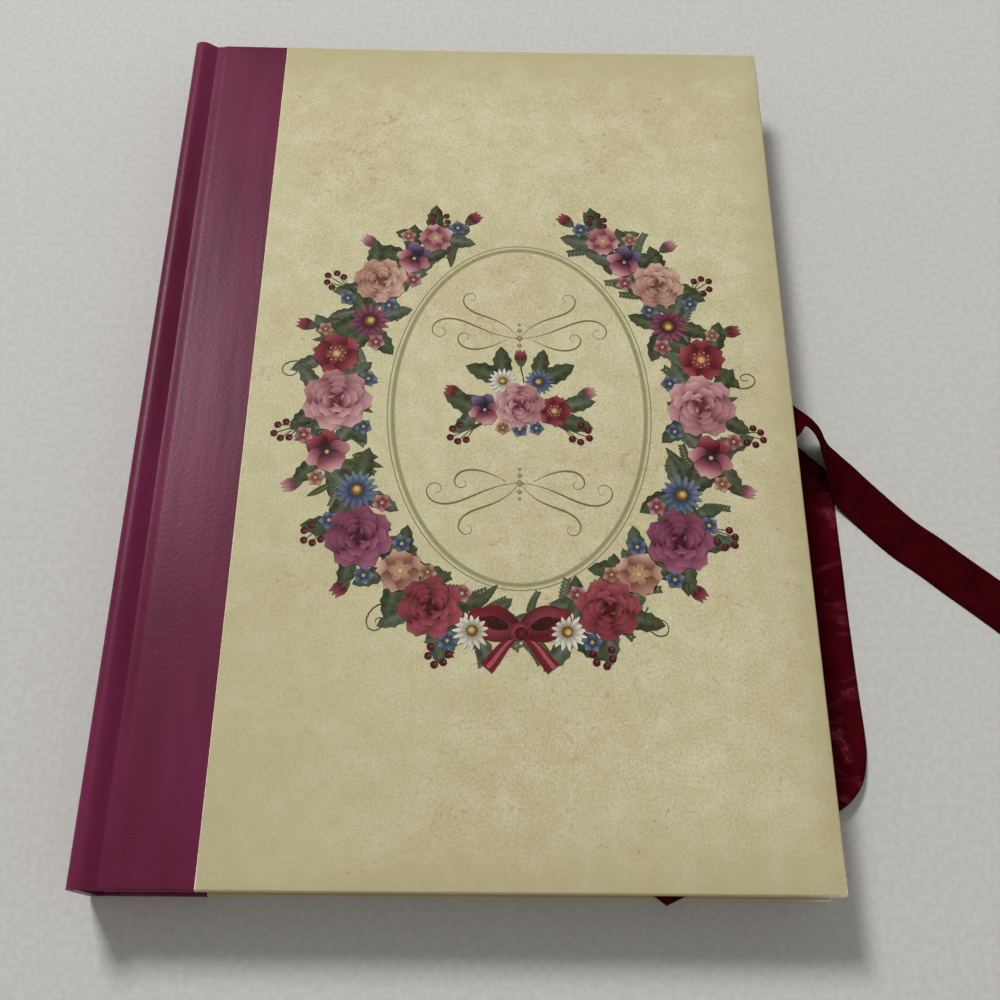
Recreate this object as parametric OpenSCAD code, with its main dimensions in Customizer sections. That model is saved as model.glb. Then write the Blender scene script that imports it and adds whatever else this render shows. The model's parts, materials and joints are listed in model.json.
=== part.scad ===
// Case-bound photograph album with a quarter-covered spine and two ribbon ties.
// Frame: +Z up, +X from the spine to the fore-edge, +Y from tail to head.
// The origin is the middle of the closed album's footprint, on the surface it lies on.

/* [Covers] */
// Width of the closed album from the spine's outer face to the fore-edge
cover_w = 216; // [180:1:260]
// Height of the covers from tail to head
cover_h = 309; // [240:1:360]
// Thickness of the cover boards
board_t = 2.5; // [1.8:0.1:3.5]
// Thickness of the covering papers
paper_t = 0.3; // [0.2:0.05:0.4]
// Width of covering paper turned in over the inner face of a board
turn_in_w = 15; // [8:1:25]
// Width of the dark quarter covering, from the spine's outer face
quarter_w = 35; // [26:1:60]

/* [Spine] */
// Thickness of the spine board
spine_board_t = 2.5; // [1.8:0.1:2.8]
// Radius of the rounded long edges of the spine
spine_r = 2; // [1.2:0.1:2.4]
// Width of the rounded ridge where the covering leaves the spine
ridge_w = 4; // [3.2:0.1:6]
// Height of the front ridge above the front board's face
ridge_h = 1.8; // [0.8:0.1:2.2]
// Width of the groove between the ridge and a board
groove_w = 6; // [4:0.5:9]
// Depth of the groove below a board's face
groove_d = 1.4; // [0.8:0.1:1.8]
// Thickness of the paper that lines the spine board
lining_t = 0.3; // [0.2:0.05:0.4]

/* [Endpapers] */
// Thickness of the pastedowns
pastedown_t = 0.2; // [0.15:0.05:0.3]
// Thickness of the two flyleaves
flyleaf_t = 0.25; // [0.15:0.05:0.4]
// Border of turned-in paper left showing round a pastedown
pastedown_inset = 4; // [2:0.5:7]

/* [Leaves] */
// Thickness of one card leaf
leaf_t = 0.5; // [0.3:0.05:0.8]
// Thickness of the guard strip that leaves room for photographs
guard_t = 0.28; // [0.2:0.02:0.5]
// Width of the guard strip along the binding edge
guard_w = 14; // [8:1:20]
// Amount by which the covers stand past the leaves
square_w = 5; // [3:0.5:8]
// Depth of the crease that lets a leaf bend beside its guard
crease_d = 0.12; // [0.05:0.01:0.15]
// Distance from the guard to the crease
crease_gap = 3; // [1.5:0.5:6]
// Diameter of the thread in the middle opening
thread_d = 0.8; // [0.5:0.1:1]

/* [Ribbons] */
// Width of the ribbon ties
ribbon_w = 16; // [10:1:16]
// Thickness of the ribbon ties
ribbon_t = 0.4; // [0.2:0.1:0.4]

/* [Hidden] */
leaf_count = 14;
// Air between neighbouring leaves, and between the block and the pastedowns
leaf_gap = 0.07;
block_gap = 0.1;
// Space over the back pastedown where the end of a ribbon lies
tail_space = 0.7;
// Clearance round the thread, to the spine lining and to the leaves
thread_gap = 0.3;
// Clearance between glued neighbours in one cover, and round the spine board
seat_gap = 0.05;
spine_gap = 0.1;
// Angle left open at each fold of the quarter covering
fold_gap = 1.5;
// Where the rounded spine edge is divided between spine and cover
fold_angle = 45;
arc_steps = 6;
wave_steps = 8;
// Joint strip and board covering are one sheet: the strip runs this far onto the board
joint_lap = 1;
// How far a cut runs past the solid that it cuts
cut_past = 1;
// Spine lining stops this far from the ends of the board
lining_inset = 6;
// Smoothing steps between two points of a ribbon's route
ribbon_steps = 3;

cover_t = paper_t + board_t;
inner_t = cover_t + paper_t + pastedown_t;
leaf_pitch = leaf_t + guard_t + leaf_gap;
back_flyleaf_z = inner_t + tail_space;
leaves_z = back_flyleaf_z + flyleaf_t + block_gap;
leaves_top = leaves_z + leaf_count * leaf_pitch;
front_flyleaf_z = leaves_top + block_gap;
album_t = front_flyleaf_z + flyleaf_t + block_gap + inner_t;
spine_top = album_t + ridge_h;

spine_x = -cover_w / 2;
fore_x = cover_w / 2;
board_x = spine_x + ridge_w + groove_w;
quarter_x = spine_x + quarter_w;
groove_x = spine_x + ridge_w + groove_w / 2;
lining_x = spine_x + paper_t + spine_board_t;
thread_x = lining_x + lining_t + thread_gap + thread_d / 2;
leaf_x = thread_x + thread_d / 2 + thread_gap;
leaf_end = fore_x - square_w;
leaf_h = cover_h - 2 * square_w;
thread_z = spine_top / 2;
// Where the front and the back ribbon leave the fore-edge, from its middle
tie_y = [-2.2, -10.2];

function two_digits(n) = n < 10 ? str("0", n) : str(n);
LEAVES = [for (k = [1 : leaf_count]) str("leaf_", two_digits(k))];
GUARDS = [for (k = [1 : leaf_count]) str("guard_", two_digits(k))];
CASE = ["front_board", "back_board", "spine_board", "front_cover_paper", "back_cover_paper",
        "front_quarter_cover", "back_quarter_cover", "spine_cover", "spine_lining"];
BLOCK = ["front_pastedown", "back_pastedown", "front_flyleaf", "back_flyleaf", "binding_thread"];

plum = [0.42, 0.13, 0.28];
cream = [0.80, 0.77, 0.60];
grey_board = [0.62, 0.58, 0.50];
endpaper_white = [0.88, 0.85, 0.74];
leaf_cream = [0.86, 0.83, 0.70];
satin_red = [0.36, 0.02, 0.07];

// Points on an arc, in the section across the spine
function arc(cx, cz, r, from, to) =
    [for (i = [0 : arc_steps])
        let (a = from + (to - from) * i / arc_steps)
        [cx + r * cos(a), cz + r * sin(a)]];
function reversed(list) = [for (i = [len(list) - 1 : -1 : 0]) list[i]];
// Smooth rise from 0 to 1
function ease(t) = (1 - cos(180 * t)) / 2;

// Box between two corners
module span_box(low, high) {
    translate(low) cube(high - low);
}
// Section across the spine drawn out from tail to head
module along_spine(length) {
    rotate([90, 0, 0]) linear_extrude(length, center = true) children();
}
// Back cover pieces are drawn as they lie; the front cover is their mirror image
module as_front() {
    translate([0, 0, album_t]) mirror([0, 0, 1]) children();
}

module cover_board() {
    edge = cover_h / 2 - paper_t;
    span_box([board_x, -edge, paper_t], [fore_x - paper_t, edge, cover_t]);
}

// Covering wrapped round a board from x0 to x1, with its edges turned in
module wrap(x0, x1, inside_x1) {
    edge = cover_h / 2;
    inside = edge - turn_in_w;
    cut_x = x0 - cut_past;
    difference() {
        span_box([x0, -edge, 0], [x1, edge, cover_t + paper_t]);
        span_box([cut_x, paper_t - edge, paper_t], [fore_x - paper_t, edge - paper_t, cover_t]);
        span_box([cut_x, -inside, cover_t - cut_past], [inside_x1, inside, inner_t + cut_past]);
    }
}

// Height of the covering's outer face over the ridge and down the groove to the board
function groove_z(x, ridge) =
    x < groove_x
        ? -ridge + (ridge + groove_d) * ease((x - spine_x - ridge_w) / (groove_x - spine_x - ridge_w))
        : groove_d * (1 - ease((x - groove_x) / (board_x - groove_x)));

// Joint strip: from the fold at the spine, over the ridge and through the groove
module joint_strip(ridge) {
    cx = spine_x + spine_r;
    cz = spine_r - ridge;
    start = 180 + fold_angle + fold_gap;
    run = board_x - spine_x - ridge_w;
    xs = [for (i = [0 : wave_steps]) spine_x + ridge_w + run * i / wave_steps];
    face = concat([for (x = xs) [x, groove_z(x, ridge)]], [[board_x + joint_lap, 0]]);
    outer = concat(arc(cx, cz, spine_r, start, 270), face);
    inner = concat(arc(cx, cz, spine_r - paper_t, start, 270), [for (p = face) p + [0, paper_t]]);
    along_spine(cover_h) polygon(concat(outer, reversed(inner)));
}

module quarter_cover(ridge) {
    joint_strip(ridge);
    wrap(board_x, quarter_x, quarter_x + cut_past);
}

module cover_paper() {
    wrap(quarter_x, fore_x, fore_x - turn_in_w);
}

// Pastedown: a sheet over the turned-in edges, filled out to the board inside them
module pastedown() {
    edge = cover_h / 2 - pastedown_inset;
    inside = cover_h / 2 - turn_in_w - seat_gap;
    span_box([board_x, -edge, cover_t + paper_t], [fore_x - pastedown_inset, edge, inner_t]);
    span_box([board_x, -inside, cover_t], [fore_x - turn_in_w - seat_gap, inside, inner_t]);
}

module front_board() { color(grey_board) as_front() cover_board(); }
module back_board() { color(grey_board) cover_board(); }
module front_cover_paper() { color(cream) as_front() cover_paper(); }
module back_cover_paper() { color(cream) cover_paper(); }
module front_quarter_cover() { color(plum) as_front() quarter_cover(ridge_h); }
module back_quarter_cover() { color(plum) quarter_cover(0); }
module front_pastedown() { color(endpaper_white) as_front() pastedown(); }
module back_pastedown() { color(endpaper_white) pastedown(); }

// Spine board with its two long outer edges rounded to the covering
module spine_board() {
    r = spine_r - paper_t;
    x0 = spine_x + paper_t;
    low = paper_t + spine_gap;
    high = spine_top - paper_t - spine_gap;
    color(grey_board) along_spine(cover_h - 2 * paper_t)
        polygon(concat(
            arc(x0 + r, low + r, r, 270, 180),
            arc(x0 + r, high - r, r, 180, 90),
            [[lining_x, high], [lining_x, low]]));
}

// Covering on the spine's outer face, from fold to fold
module spine_cover() {
    cx = spine_x + spine_r;
    turn = fold_angle - fold_gap;
    r = spine_r - paper_t;
    low = spine_r;
    high = spine_top - spine_r;
    outer = concat(arc(cx, low, spine_r, 180 + turn, 180), arc(cx, high, spine_r, 180, 180 - turn));
    inner = concat(arc(cx, high, r, 180 - turn, 180), arc(cx, low, r, 180, 180 + turn));
    color(plum) along_spine(cover_h) polygon(concat(outer, inner));
}

module spine_lining() {
    edge = cover_h / 2 - lining_inset;
    color(endpaper_white)
        span_box([lining_x, -edge, cover_t], [lining_x + lining_t, edge, spine_top - cover_t]);
}

module flyleaf(z) {
    color(endpaper_white) span_box([leaf_x, -leaf_h / 2, z], [leaf_end, leaf_h / 2, z + flyleaf_t]);
}
module front_flyleaf() { flyleaf(front_flyleaf_z); }
module back_flyleaf() { flyleaf(back_flyleaf_z); }

// Underside of the pair of leaf and guard, counted from the front
function pair_z(k) = leaves_top - (k + 1) * leaf_pitch;

// Card leaf, with a crease on its upper face beside the guard
module leaf(k) {
    z = pair_z(k) + guard_t;
    color(leaf_cream) difference() {
        span_box([leaf_x, -leaf_h / 2, z], [leaf_end, leaf_h / 2, z + leaf_t]);
        translate([leaf_x + guard_w + crease_gap, 0, z + leaf_t]) rotate([0, 45, 0])
            cube([crease_d * sqrt(2), leaf_h + 2 * cut_past, crease_d * sqrt(2)], center = true);
    }
}

// Strip glued under the leaf's binding edge
module guard(k) {
    z = pair_z(k);
    color(endpaper_white) span_box([leaf_x, -leaf_h / 2, z], [leaf_x + guard_w, leaf_h / 2, z + guard_t]);
}

module binding_thread() {
    color("ivory") translate([thread_x, 0, thread_z]) rotate([90, 0, 0])
        cylinder(h = leaf_h, d = thread_d, center = true, $fn = 32);
}

// A ribbon's route: each entry is a point of its middle line and the direction across it,
// with X measured from the fore-edge.
// The direction is one unit long, or longer where the ribbon folds on a slant.
front_z = album_t - cover_t - paper_t - ribbon_t / 2 - seat_gap;
back_z = cover_t + paper_t + ribbon_t / 2 + seat_gap;
inside_z = inner_t + tail_space / 2;
table_z = ribbon_t / 2 + seat_gap;
tie_x = seat_gap - pastedown_inset;

front_route = [
    [[tie_x, tie_y[0], front_z], [0, 1, 0]],
    [[-1.6, -2.2, front_z], [0, 1, 0]],
    [[-0.2, -2.2, front_z - 0.2], [0, 1, -0.012]],
    [[0.7, -2.2, front_z - 0.42], [0.01, 0.99, -0.1]],
    [[2.1, -2.3, front_z - 0.75], [0.04, 0.89, -0.46]],
    [[6.3, -2.2, 13.7], [0.34, 0.6, -0.72]],
    [[9.7, -3.9, 11.2], [0.41, 0.49, -0.77]],
    [[12.1, -6.7, 8.7], [0.4, 0.47, -0.79]],
    [[13.4, -9, 7.1], [0.42, 0.54, -0.73]],
    [[15, -11.1, 5.7], [0.45, 0.62, -0.64]],
    [[16.8, -14.2, 4.4], [0.53, 0.69, -0.5]],
    [[19.3, -17.9, 2.7], [0.64, 0.71, -0.29]],
    [[21.8, -21.5, 1.2], [0.7, 0.71, -0.07]],
    [[27.5, -27.6, 0.4], [0.66, 0.75, 0]],
    [[37.9, -38.3, table_z], [0.63, 0.78, 0]],
    [[46.5, -45.2, table_z], [0.63, 0.78, 0]],
    [[54.4, -52, table_z], [0.63, 0.78, 0]],
    [[62.3, -58.5, table_z], [0.64, 0.77, 0]],
    [[73.3, -68.1, table_z], [0.69, 0.72, 0]],
    [[83.3, -78.8, table_z], [0.77, 0.64, 0]],
    [[91.8, -90.4, table_z], [0.85, 0.53, 0]],
    [[97.8, -103, table_z], [0.92, 0.39, 0]],
    [[101.8, -116.7, table_z], [0.96, 0.27, 0]],
    [[104.2, -130.9, table_z], [0.98, 0.5, 0]]];

back_route = [
    [[tie_x, tie_y[1], back_z], [0, 1, 0]],
    [[-1.2, -10.2, back_z], [0, 1, 0]],
    [[2.7, -10.2, back_z], [-0.2, 1, 0]],
    [[6.8, -10, 3.2], [-0.75, 0.97, 0]],
    [[9, -9.6, 2.3], [-0.96, 0.96, 0]],
    [[8.8, -10.6, 1.3], [-1, 0.9, 0]],
    [[8.6, -14.8, 0.8], [-1, 0.5, 0]],
    [[8.6, -20.8, 0.5], [-1, 0.1, 0]],
    [[8.5, -32.9, table_z], [-1, 0, 0]],
    [[8.5, -48, table_z], [-1, 0, 0]],
    [[8.4, -63, table_z], [-1, 0, 0]],
    [[8.5, -78.2, table_z], [-1, 0, 0]],
    [[8.7, -93.3, table_z], [-1, 0, 0]],
    [[8.8, -103.4, 0.6], [-1, 0.03, 0]],
    [[8.6, -110.5, 1.4], [-0.97, 0.22, 0.06]],
    [[6.9, -116.5, 3], [-0.84, 0.53, 0.1]],
    [[2.5, -121.2, inside_z], [-0.64, 0.77, 0]],
    [[-4.7, -125, inside_z], [-0.52, 0.86, 0]],
    [[-15.7, -130.8, inside_z], [-0.48, 0.88, 0]],
    [[-28.5, -137.3, inside_z], [-0.46, 0.89, 0]],
    [[-42, -144.2, inside_z], [-0.46, 0.89, 0]],
    [[-55.4, -150.7, inside_z], [-0.88, 0.68, 0]]];

// Point on a smooth curve through four neighbouring values, a share t past the second
function glide(a, b, c, d, t) =
    b + t * (c - a) / 2
        + pow(t, 2) * (2 * a - 5 * b + 4 * c - d) / 2
        + pow(t, 3) * (3 * b - a - 3 * c + d) / 2;
function pick(list, i) = list[max(0, min(len(list) - 1, i))];
function smooth(route, part) =
    let (p = [for (e = route) e[part]], last = len(p) - 1)
    concat([for (i = [0 : last - 1]) for (s = [0 : ribbon_steps - 1])
        glide(pick(p, i - 1), p[i], p[i + 1], pick(p, i + 2), s / ribbon_steps)], [p[last]]);

// Flat ribbon swept along its route: eight points round each section
across = [-1, -0.35, 0.35, 1, 1, 0.35, -0.35, -1];
upper = [1, 1, 1, 1, -1, -1, -1, -1];
module ribbon(route) {
    mids = [for (p = smooth(route, 0)) p + [fore_x, 0, 0]];
    sides = smooth(route, 1);
    last = len(mids) - 1;
    sections = len(across);
    points = [for (i = [0 : last])
        let (n = cross(sides[i], pick(mids, i + 1) - pick(mids, i - 1)), up = n / norm(n))
        for (j = [0 : sections - 1])
            mids[i] + sides[i] * across[j] * ribbon_w / 2 + up * upper[j] * ribbon_t / 2];
    skin = [for (i = [0 : last - 1]) for (j = [0 : sections - 1])
        let (k = (j + 1) % sections, a = i * sections, b = a + sections)
        for (f = [[a + j, b + j, a + k], [a + k, b + j, b + k]]) f];
    // Each end is closed by strips between the upper and the lower points
    end = last * sections;
    caps = [for (j = [0 : sections / 2 - 2])
        let (u = j + 1, v = sections - 1 - j, w = v - 1)
        for (f = [[j, u, v], [u, w, v], [end + j, end + v, end + u], [end + u, end + v, end + w]]) f];
    polyhedron(points, concat(skin, caps));
}
module front_ribbon() { color(satin_red) ribbon(front_route); }
module back_ribbon() { color(satin_red) ribbon(back_route); }

front_board();
back_board();
spine_board();
front_cover_paper();
back_cover_paper();
front_quarter_cover();
back_quarter_cover();
spine_cover();
spine_lining();
front_pastedown();
back_pastedown();
front_flyleaf();
back_flyleaf();
binding_thread();
for (k = [0 : leaf_count - 1]) leaf(k);
for (k = [0 : leaf_count - 1]) guard(k);
front_ribbon();
back_ribbon();
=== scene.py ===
import json
import math
import random

import bmesh
import bpy
import numpy as np
from mathutils import Matrix, Vector, noise

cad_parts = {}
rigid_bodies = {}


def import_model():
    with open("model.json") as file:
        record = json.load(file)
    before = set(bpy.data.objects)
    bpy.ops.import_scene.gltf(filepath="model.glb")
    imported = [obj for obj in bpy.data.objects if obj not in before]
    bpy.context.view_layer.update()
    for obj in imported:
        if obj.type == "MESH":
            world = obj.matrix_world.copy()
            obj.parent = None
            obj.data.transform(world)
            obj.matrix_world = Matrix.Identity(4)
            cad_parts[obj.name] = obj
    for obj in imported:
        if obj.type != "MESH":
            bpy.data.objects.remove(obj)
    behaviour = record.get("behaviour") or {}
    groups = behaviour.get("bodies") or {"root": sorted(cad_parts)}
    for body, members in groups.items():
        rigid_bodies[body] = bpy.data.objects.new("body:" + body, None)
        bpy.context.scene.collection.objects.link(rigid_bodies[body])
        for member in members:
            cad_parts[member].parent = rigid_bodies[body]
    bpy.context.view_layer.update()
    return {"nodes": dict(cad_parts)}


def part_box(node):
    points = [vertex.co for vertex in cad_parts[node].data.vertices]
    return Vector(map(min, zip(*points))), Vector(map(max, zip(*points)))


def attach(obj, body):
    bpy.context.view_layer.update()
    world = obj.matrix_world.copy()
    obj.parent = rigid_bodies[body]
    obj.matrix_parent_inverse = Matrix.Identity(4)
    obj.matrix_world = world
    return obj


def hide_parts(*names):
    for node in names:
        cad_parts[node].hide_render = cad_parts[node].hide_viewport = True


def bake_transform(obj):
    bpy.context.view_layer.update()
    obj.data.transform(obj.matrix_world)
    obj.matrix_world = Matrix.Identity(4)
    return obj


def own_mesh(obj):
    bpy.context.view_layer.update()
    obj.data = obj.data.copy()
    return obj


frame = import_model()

scene = bpy.context.scene
scene.view_settings.view_transform = "Standard"
mm = 0.001

# Sizes read from the frame
frontLow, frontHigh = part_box("front_cover_paper")
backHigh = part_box("back_cover_paper")[1]
foreEdge = frontHigh.x
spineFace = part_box("spine_cover")[0].x
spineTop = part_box("front_quarter_cover")[1].z
halfHeight = frontHigh.y
coverTop = frontHigh.z
quarterLine = frontLow.x
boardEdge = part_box("front_board")[0].x
pasteLow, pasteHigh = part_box("front_pastedown")


# Helpers for meshes and shader trees

def linear(hexColour):
    parts = [int(hexColour[i:i + 2], 16) / 255 for i in (1, 3, 5)]
    return tuple(c / 12.92 if c <= 0.04045 else ((c + 0.055) / 1.055) ** 2.4 for c in parts)


def rgba(hexColour):
    return (*linear(hexColour), 1.0)


def addObject(name, data):
    made = bpy.data.objects.new(name, data)
    scene.collection.objects.link(made)
    return made


def addPiece(name, points, faces, material, smooth=True):
    mesh = bpy.data.meshes.new(name)
    mesh.from_pydata([tuple(p) for p in points], [], faces)
    mesh.validate()
    mesh.polygons.foreach_set("use_smooth", [smooth] * len(mesh.polygons))
    mesh.materials.append(material)
    return addObject(name, mesh)


def bake(piece):
    # modifiers become plain mesh
    graph = bpy.context.evaluated_depsgraph_get()
    mesh = bpy.data.meshes.new_from_object(piece.evaluated_get(graph), depsgraph=graph)
    piece.modifiers.clear()
    piece.data = mesh
    return piece


def floatAttribute(piece, name, values):
    layer = piece.data.attributes.new(name, "FLOAT", "POINT")
    layer.data.foreach_set("value", np.asarray(values, np.float32))


def dress(node, material):
    nodeObject = frame["nodes"][node]
    nodeObject.data.materials.clear()
    nodeObject.data.materials.append(material)


def newMaterial(name):
    material = bpy.data.materials.new(name)
    material.use_nodes = True
    tree = material.node_tree
    tree.nodes.clear()
    output = tree.nodes.new("ShaderNodeOutputMaterial")
    shader = tree.nodes.new("ShaderNodeBsdfPrincipled")
    tree.links.new(shader.outputs["BSDF"], output.inputs["Surface"])
    return material, tree, shader


def feed(tree, socket, value):
    # a socket takes a link or a plain value
    if isinstance(value, bpy.types.NodeSocket):
        tree.links.new(value, socket)
    else:
        socket.default_value = value


def put(tree, kind, inputs=None, **settings):
    node = tree.nodes.new(kind)
    for key, value in settings.items():
        setattr(node, key, value)
    for key, value in (inputs or {}).items():
        feed(tree, node.inputs[key], value)
    return node


def objectPlace(tree):
    return put(tree, "ShaderNodeTexCoord").outputs["Object"]


def stretched(tree, place, scale):
    return put(tree, "ShaderNodeMapping", {"Vector": place, "Scale": scale}).outputs["Vector"]


def cloud(tree, place, scale, detail=3.0, rough=0.5, warp=0.0):
    inputs = {"Vector": place, "Scale": scale, "Detail": detail, "Roughness": rough, "Distortion": warp}
    return put(tree, "ShaderNodeTexNoise", inputs).outputs["Fac"]


def sums(tree, operation, a, b=0.0):
    return put(tree, "ShaderNodeMath", {0: a, 1: b}, operation=operation).outputs[0]


def times(tree, a, b):
    return sums(tree, "MULTIPLY", a, b)


def fromMiddle(tree, value):
    return sums(tree, "ABSOLUTE", sums(tree, "SUBTRACT", value, 0.5))


def between(tree, value, low, high, toLow=0.0, toHigh=1.0):
    inputs = {"Value": value, "From Min": low, "From Max": high, "To Min": toLow, "To Max": toHigh}
    return put(tree, "ShaderNodeMapRange", inputs, interpolation_type="SMOOTHSTEP").outputs["Result"]


def tint(tree, share, a, b):
    node = put(tree, "ShaderNodeMix", {"Factor": share}, data_type="RGBA")
    for socket, value in ((node.inputs[6], a), (node.inputs[7], b)):
        feed(tree, socket, rgba(value) if isinstance(value, str) else value)
    return node.outputs[2]


def relief(tree, height, strength, distance, under=None):
    inputs = {"Height": height, "Strength": strength, "Distance": distance}
    if under is not None:
        inputs["Normal"] = under
    return put(tree, "ShaderNodeBump", inputs).outputs["Normal"]


def attribute(tree, name, output="Fac"):
    return put(tree, "ShaderNodeAttribute", attribute_name=name).outputs[output]


def coat(tree, shader, colour, rough, normal=None, specular=None):
    for name, value in (("Base Color", colour), ("Roughness", rough), ("Normal", normal),
                        ("Specular IOR Level", specular)):
        if value is not None:
            feed(tree, shader.inputs[name], value)


# Camera: the place and turn that the photograph was taken from
cameraPlan = {
    "place": (0.00319, -0.1794, 0.3444),
    "right": (0.99968, 0.00612, 0.02445),
    "forward": (0.01988, 0.40498, -0.91411),
    "lens": 40.06,
    "sensor": 36.0,
    "clip": (0.01, 50),
}


def makeCamera(plan):
    camera = bpy.data.cameras.new("camera")
    camera.lens = plan["lens"]
    camera.sensor_width = plan["sensor"]
    camera.clip_start, camera.clip_end = plan["clip"]
    holder = addObject("camera", camera)
    back = -Vector(plan["forward"]).normalized()
    up = back.cross(Vector(plan["right"])).normalized()
    right = up.cross(back)
    turn = Matrix((right, up, back)).transposed().to_4x4()
    holder.matrix_world = Matrix.Translation(plan["place"]) @ turn
    scene.camera = holder


makeCamera(cameraPlan)
print("camera set")


# Ribbon ties

ribbonPlan = {
    "width": 0.016,
    "thick": 0.0004,
    "selvedge": 0.55,        # share of the thickness left at the long edges
    "seat": 0.00005,         # clearance from the boards and the table
    "stepsBetweenPoints": 6,
    "columns": 12,
    "rippleHeight": 0.00012,
    "rippleLength": 0.009,
    "heldFlat": 0.008,       # no ripples this far from the glued end
    "rippleGrowth": 0.02,
    "cloth": "#3b060a",
    "clothLit": "#4c0912",
    "clothDark": "#240206",
    "paintedGlint": "#84303f",
    "frontPaintedGlints": 0.08,
    "backPaintedGlints": 0.85,      # the back tie gets much stronger painted glints
    "threadsAcross": 90.0,
    "threadsAlong": 160.0,
    "frontTieY": -0.0022,
    "backTieY": -0.0102,
}
ribbonHalf = ribbonPlan["thick"] / 2 + ribbonPlan["seat"]
tieX = pasteHigh.x - foreEdge + ribbonPlan["seat"]
frontZ = frontLow.z - ribbonHalf
backZ = backHigh.z + ribbonHalf
insideZ = (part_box("back_pastedown")[1].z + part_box("back_flyleaf")[0].z) / 2
tableZ = ribbonHalf
frontY = ribbonPlan["frontTieY"]
backY = ribbonPlan["backTieY"]

# each row is a point of the middle line, with X from the fore-edge, and the direction across
frontRoute = [
    ((tieX, frontY, frontZ), (0, 1, 0)),
    ((-0.0016, frontY, frontZ), (0, 1, 0)),
    ((-0.0002, frontY, frontZ - 0.0002), (0, 1, -0.012)),
    ((0.0007, frontY, frontZ - 0.00042), (0.01, 0.99, -0.1)),
    ((0.0021, -0.0023, frontZ - 0.00075), (0.04, 0.89, -0.46)),
    ((0.0063, -0.0022, 0.0137), (0.34, 0.6, -0.72)),
    ((0.0097, -0.0039, 0.0112), (0.41, 0.49, -0.77)),
    ((0.0121, -0.0067, 0.0087), (0.4, 0.47, -0.79)),
    ((0.0134, -0.009, 0.0071), (0.42, 0.54, -0.73)),
    ((0.015, -0.0111, 0.0057), (0.45, 0.62, -0.64)),
    ((0.0168, -0.0142, 0.0044), (0.53, 0.69, -0.5)),
    ((0.0193, -0.0179, 0.0027), (0.64, 0.71, -0.29)),
    ((0.0218, -0.0215, 0.0012), (0.7, 0.71, -0.07)),
    ((0.0275, -0.0276, 0.0004), (0.66, 0.75, 0)),
    ((0.0379, -0.0383, tableZ), (0.63, 0.78, 0)),
    ((0.0465, -0.0452, tableZ), (0.63, 0.78, 0)),
    ((0.0544, -0.052, tableZ), (0.63, 0.78, 0)),
    ((0.0623, -0.0585, tableZ), (0.64, 0.77, 0)),
    ((0.0733, -0.0681, tableZ), (0.69, 0.72, 0)),
    ((0.0833, -0.0788, tableZ), (0.77, 0.64, 0)),
    ((0.0918, -0.0904, tableZ), (0.85, 0.53, 0)),
    ((0.0978, -0.103, tableZ), (0.92, 0.39, 0)),
    ((0.1018, -0.1167, tableZ), (0.96, 0.27, 0)),
    ((0.1042, -0.1309, tableZ), (0.98, 0.5, 0)),
]
backRoute = [
    ((tieX, backY, backZ), (0, 1, 0)),
    ((-0.0012, backY, backZ), (0, 1, 0)),
    ((0.0027, backY, backZ), (-0.2, 1, 0)),
    ((0.0068, -0.01, 0.0032), (-0.75, 0.97, 0)),
    ((0.009, -0.0096, 0.0023), (-0.96, 0.96, 0)),
    ((0.0088, -0.0106, 0.0013), (-1, 0.9, 0)),
    ((0.0086, -0.0148, 0.0008), (-1, 0.5, 0)),
    ((0.0086, -0.0208, 0.0005), (-1, 0.1, 0)),
    ((0.0085, -0.0329, tableZ), (-1, 0, 0)),
    ((0.0085, -0.048, tableZ), (-1, 0, 0)),
    ((0.0084, -0.063, tableZ), (-1, 0, 0)),
    ((0.0085, -0.0782, tableZ), (-1, 0, 0)),
    ((0.0087, -0.0933, tableZ), (-1, 0, 0)),
    ((0.0088, -0.1034, 0.0006), (-1, 0.03, 0)),
    ((0.0086, -0.1105, 0.0014), (-0.97, 0.22, 0.06)),
    ((0.0069, -0.1165, 0.003), (-0.84, 0.53, 0.1)),
    ((0.0025, -0.1212, insideZ), (-0.64, 0.77, 0)),
    ((-0.0047, -0.125, insideZ), (-0.52, 0.86, 0)),
    ((-0.0157, -0.1308, insideZ), (-0.48, 0.88, 0)),
    ((-0.0285, -0.1373, insideZ), (-0.46, 0.89, 0)),
    ((-0.042, -0.1442, insideZ), (-0.46, 0.89, 0)),
    ((-0.0554, -0.1507, insideZ), (-0.88, 0.68, 0)),
]


def glide(a, b, c, d, t):
    bent = t ** 2 * (2 * a - 5 * b + 4 * c - d) / 2
    return b + t * (c - a) / 2 + bent + t ** 3 * (3 * b - a - 3 * c + d) / 2


def smoothRoute(rows, steps):
    rows = np.asarray(rows, float)
    last = len(rows) - 1
    made = []
    for i in range(last):
        around = [rows[max(0, min(last, i + k))] for k in (-1, 0, 1, 2)]
        made += [glide(*around, s / steps) for s in range(steps)]
    return np.array(made + [rows[last]])


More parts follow.
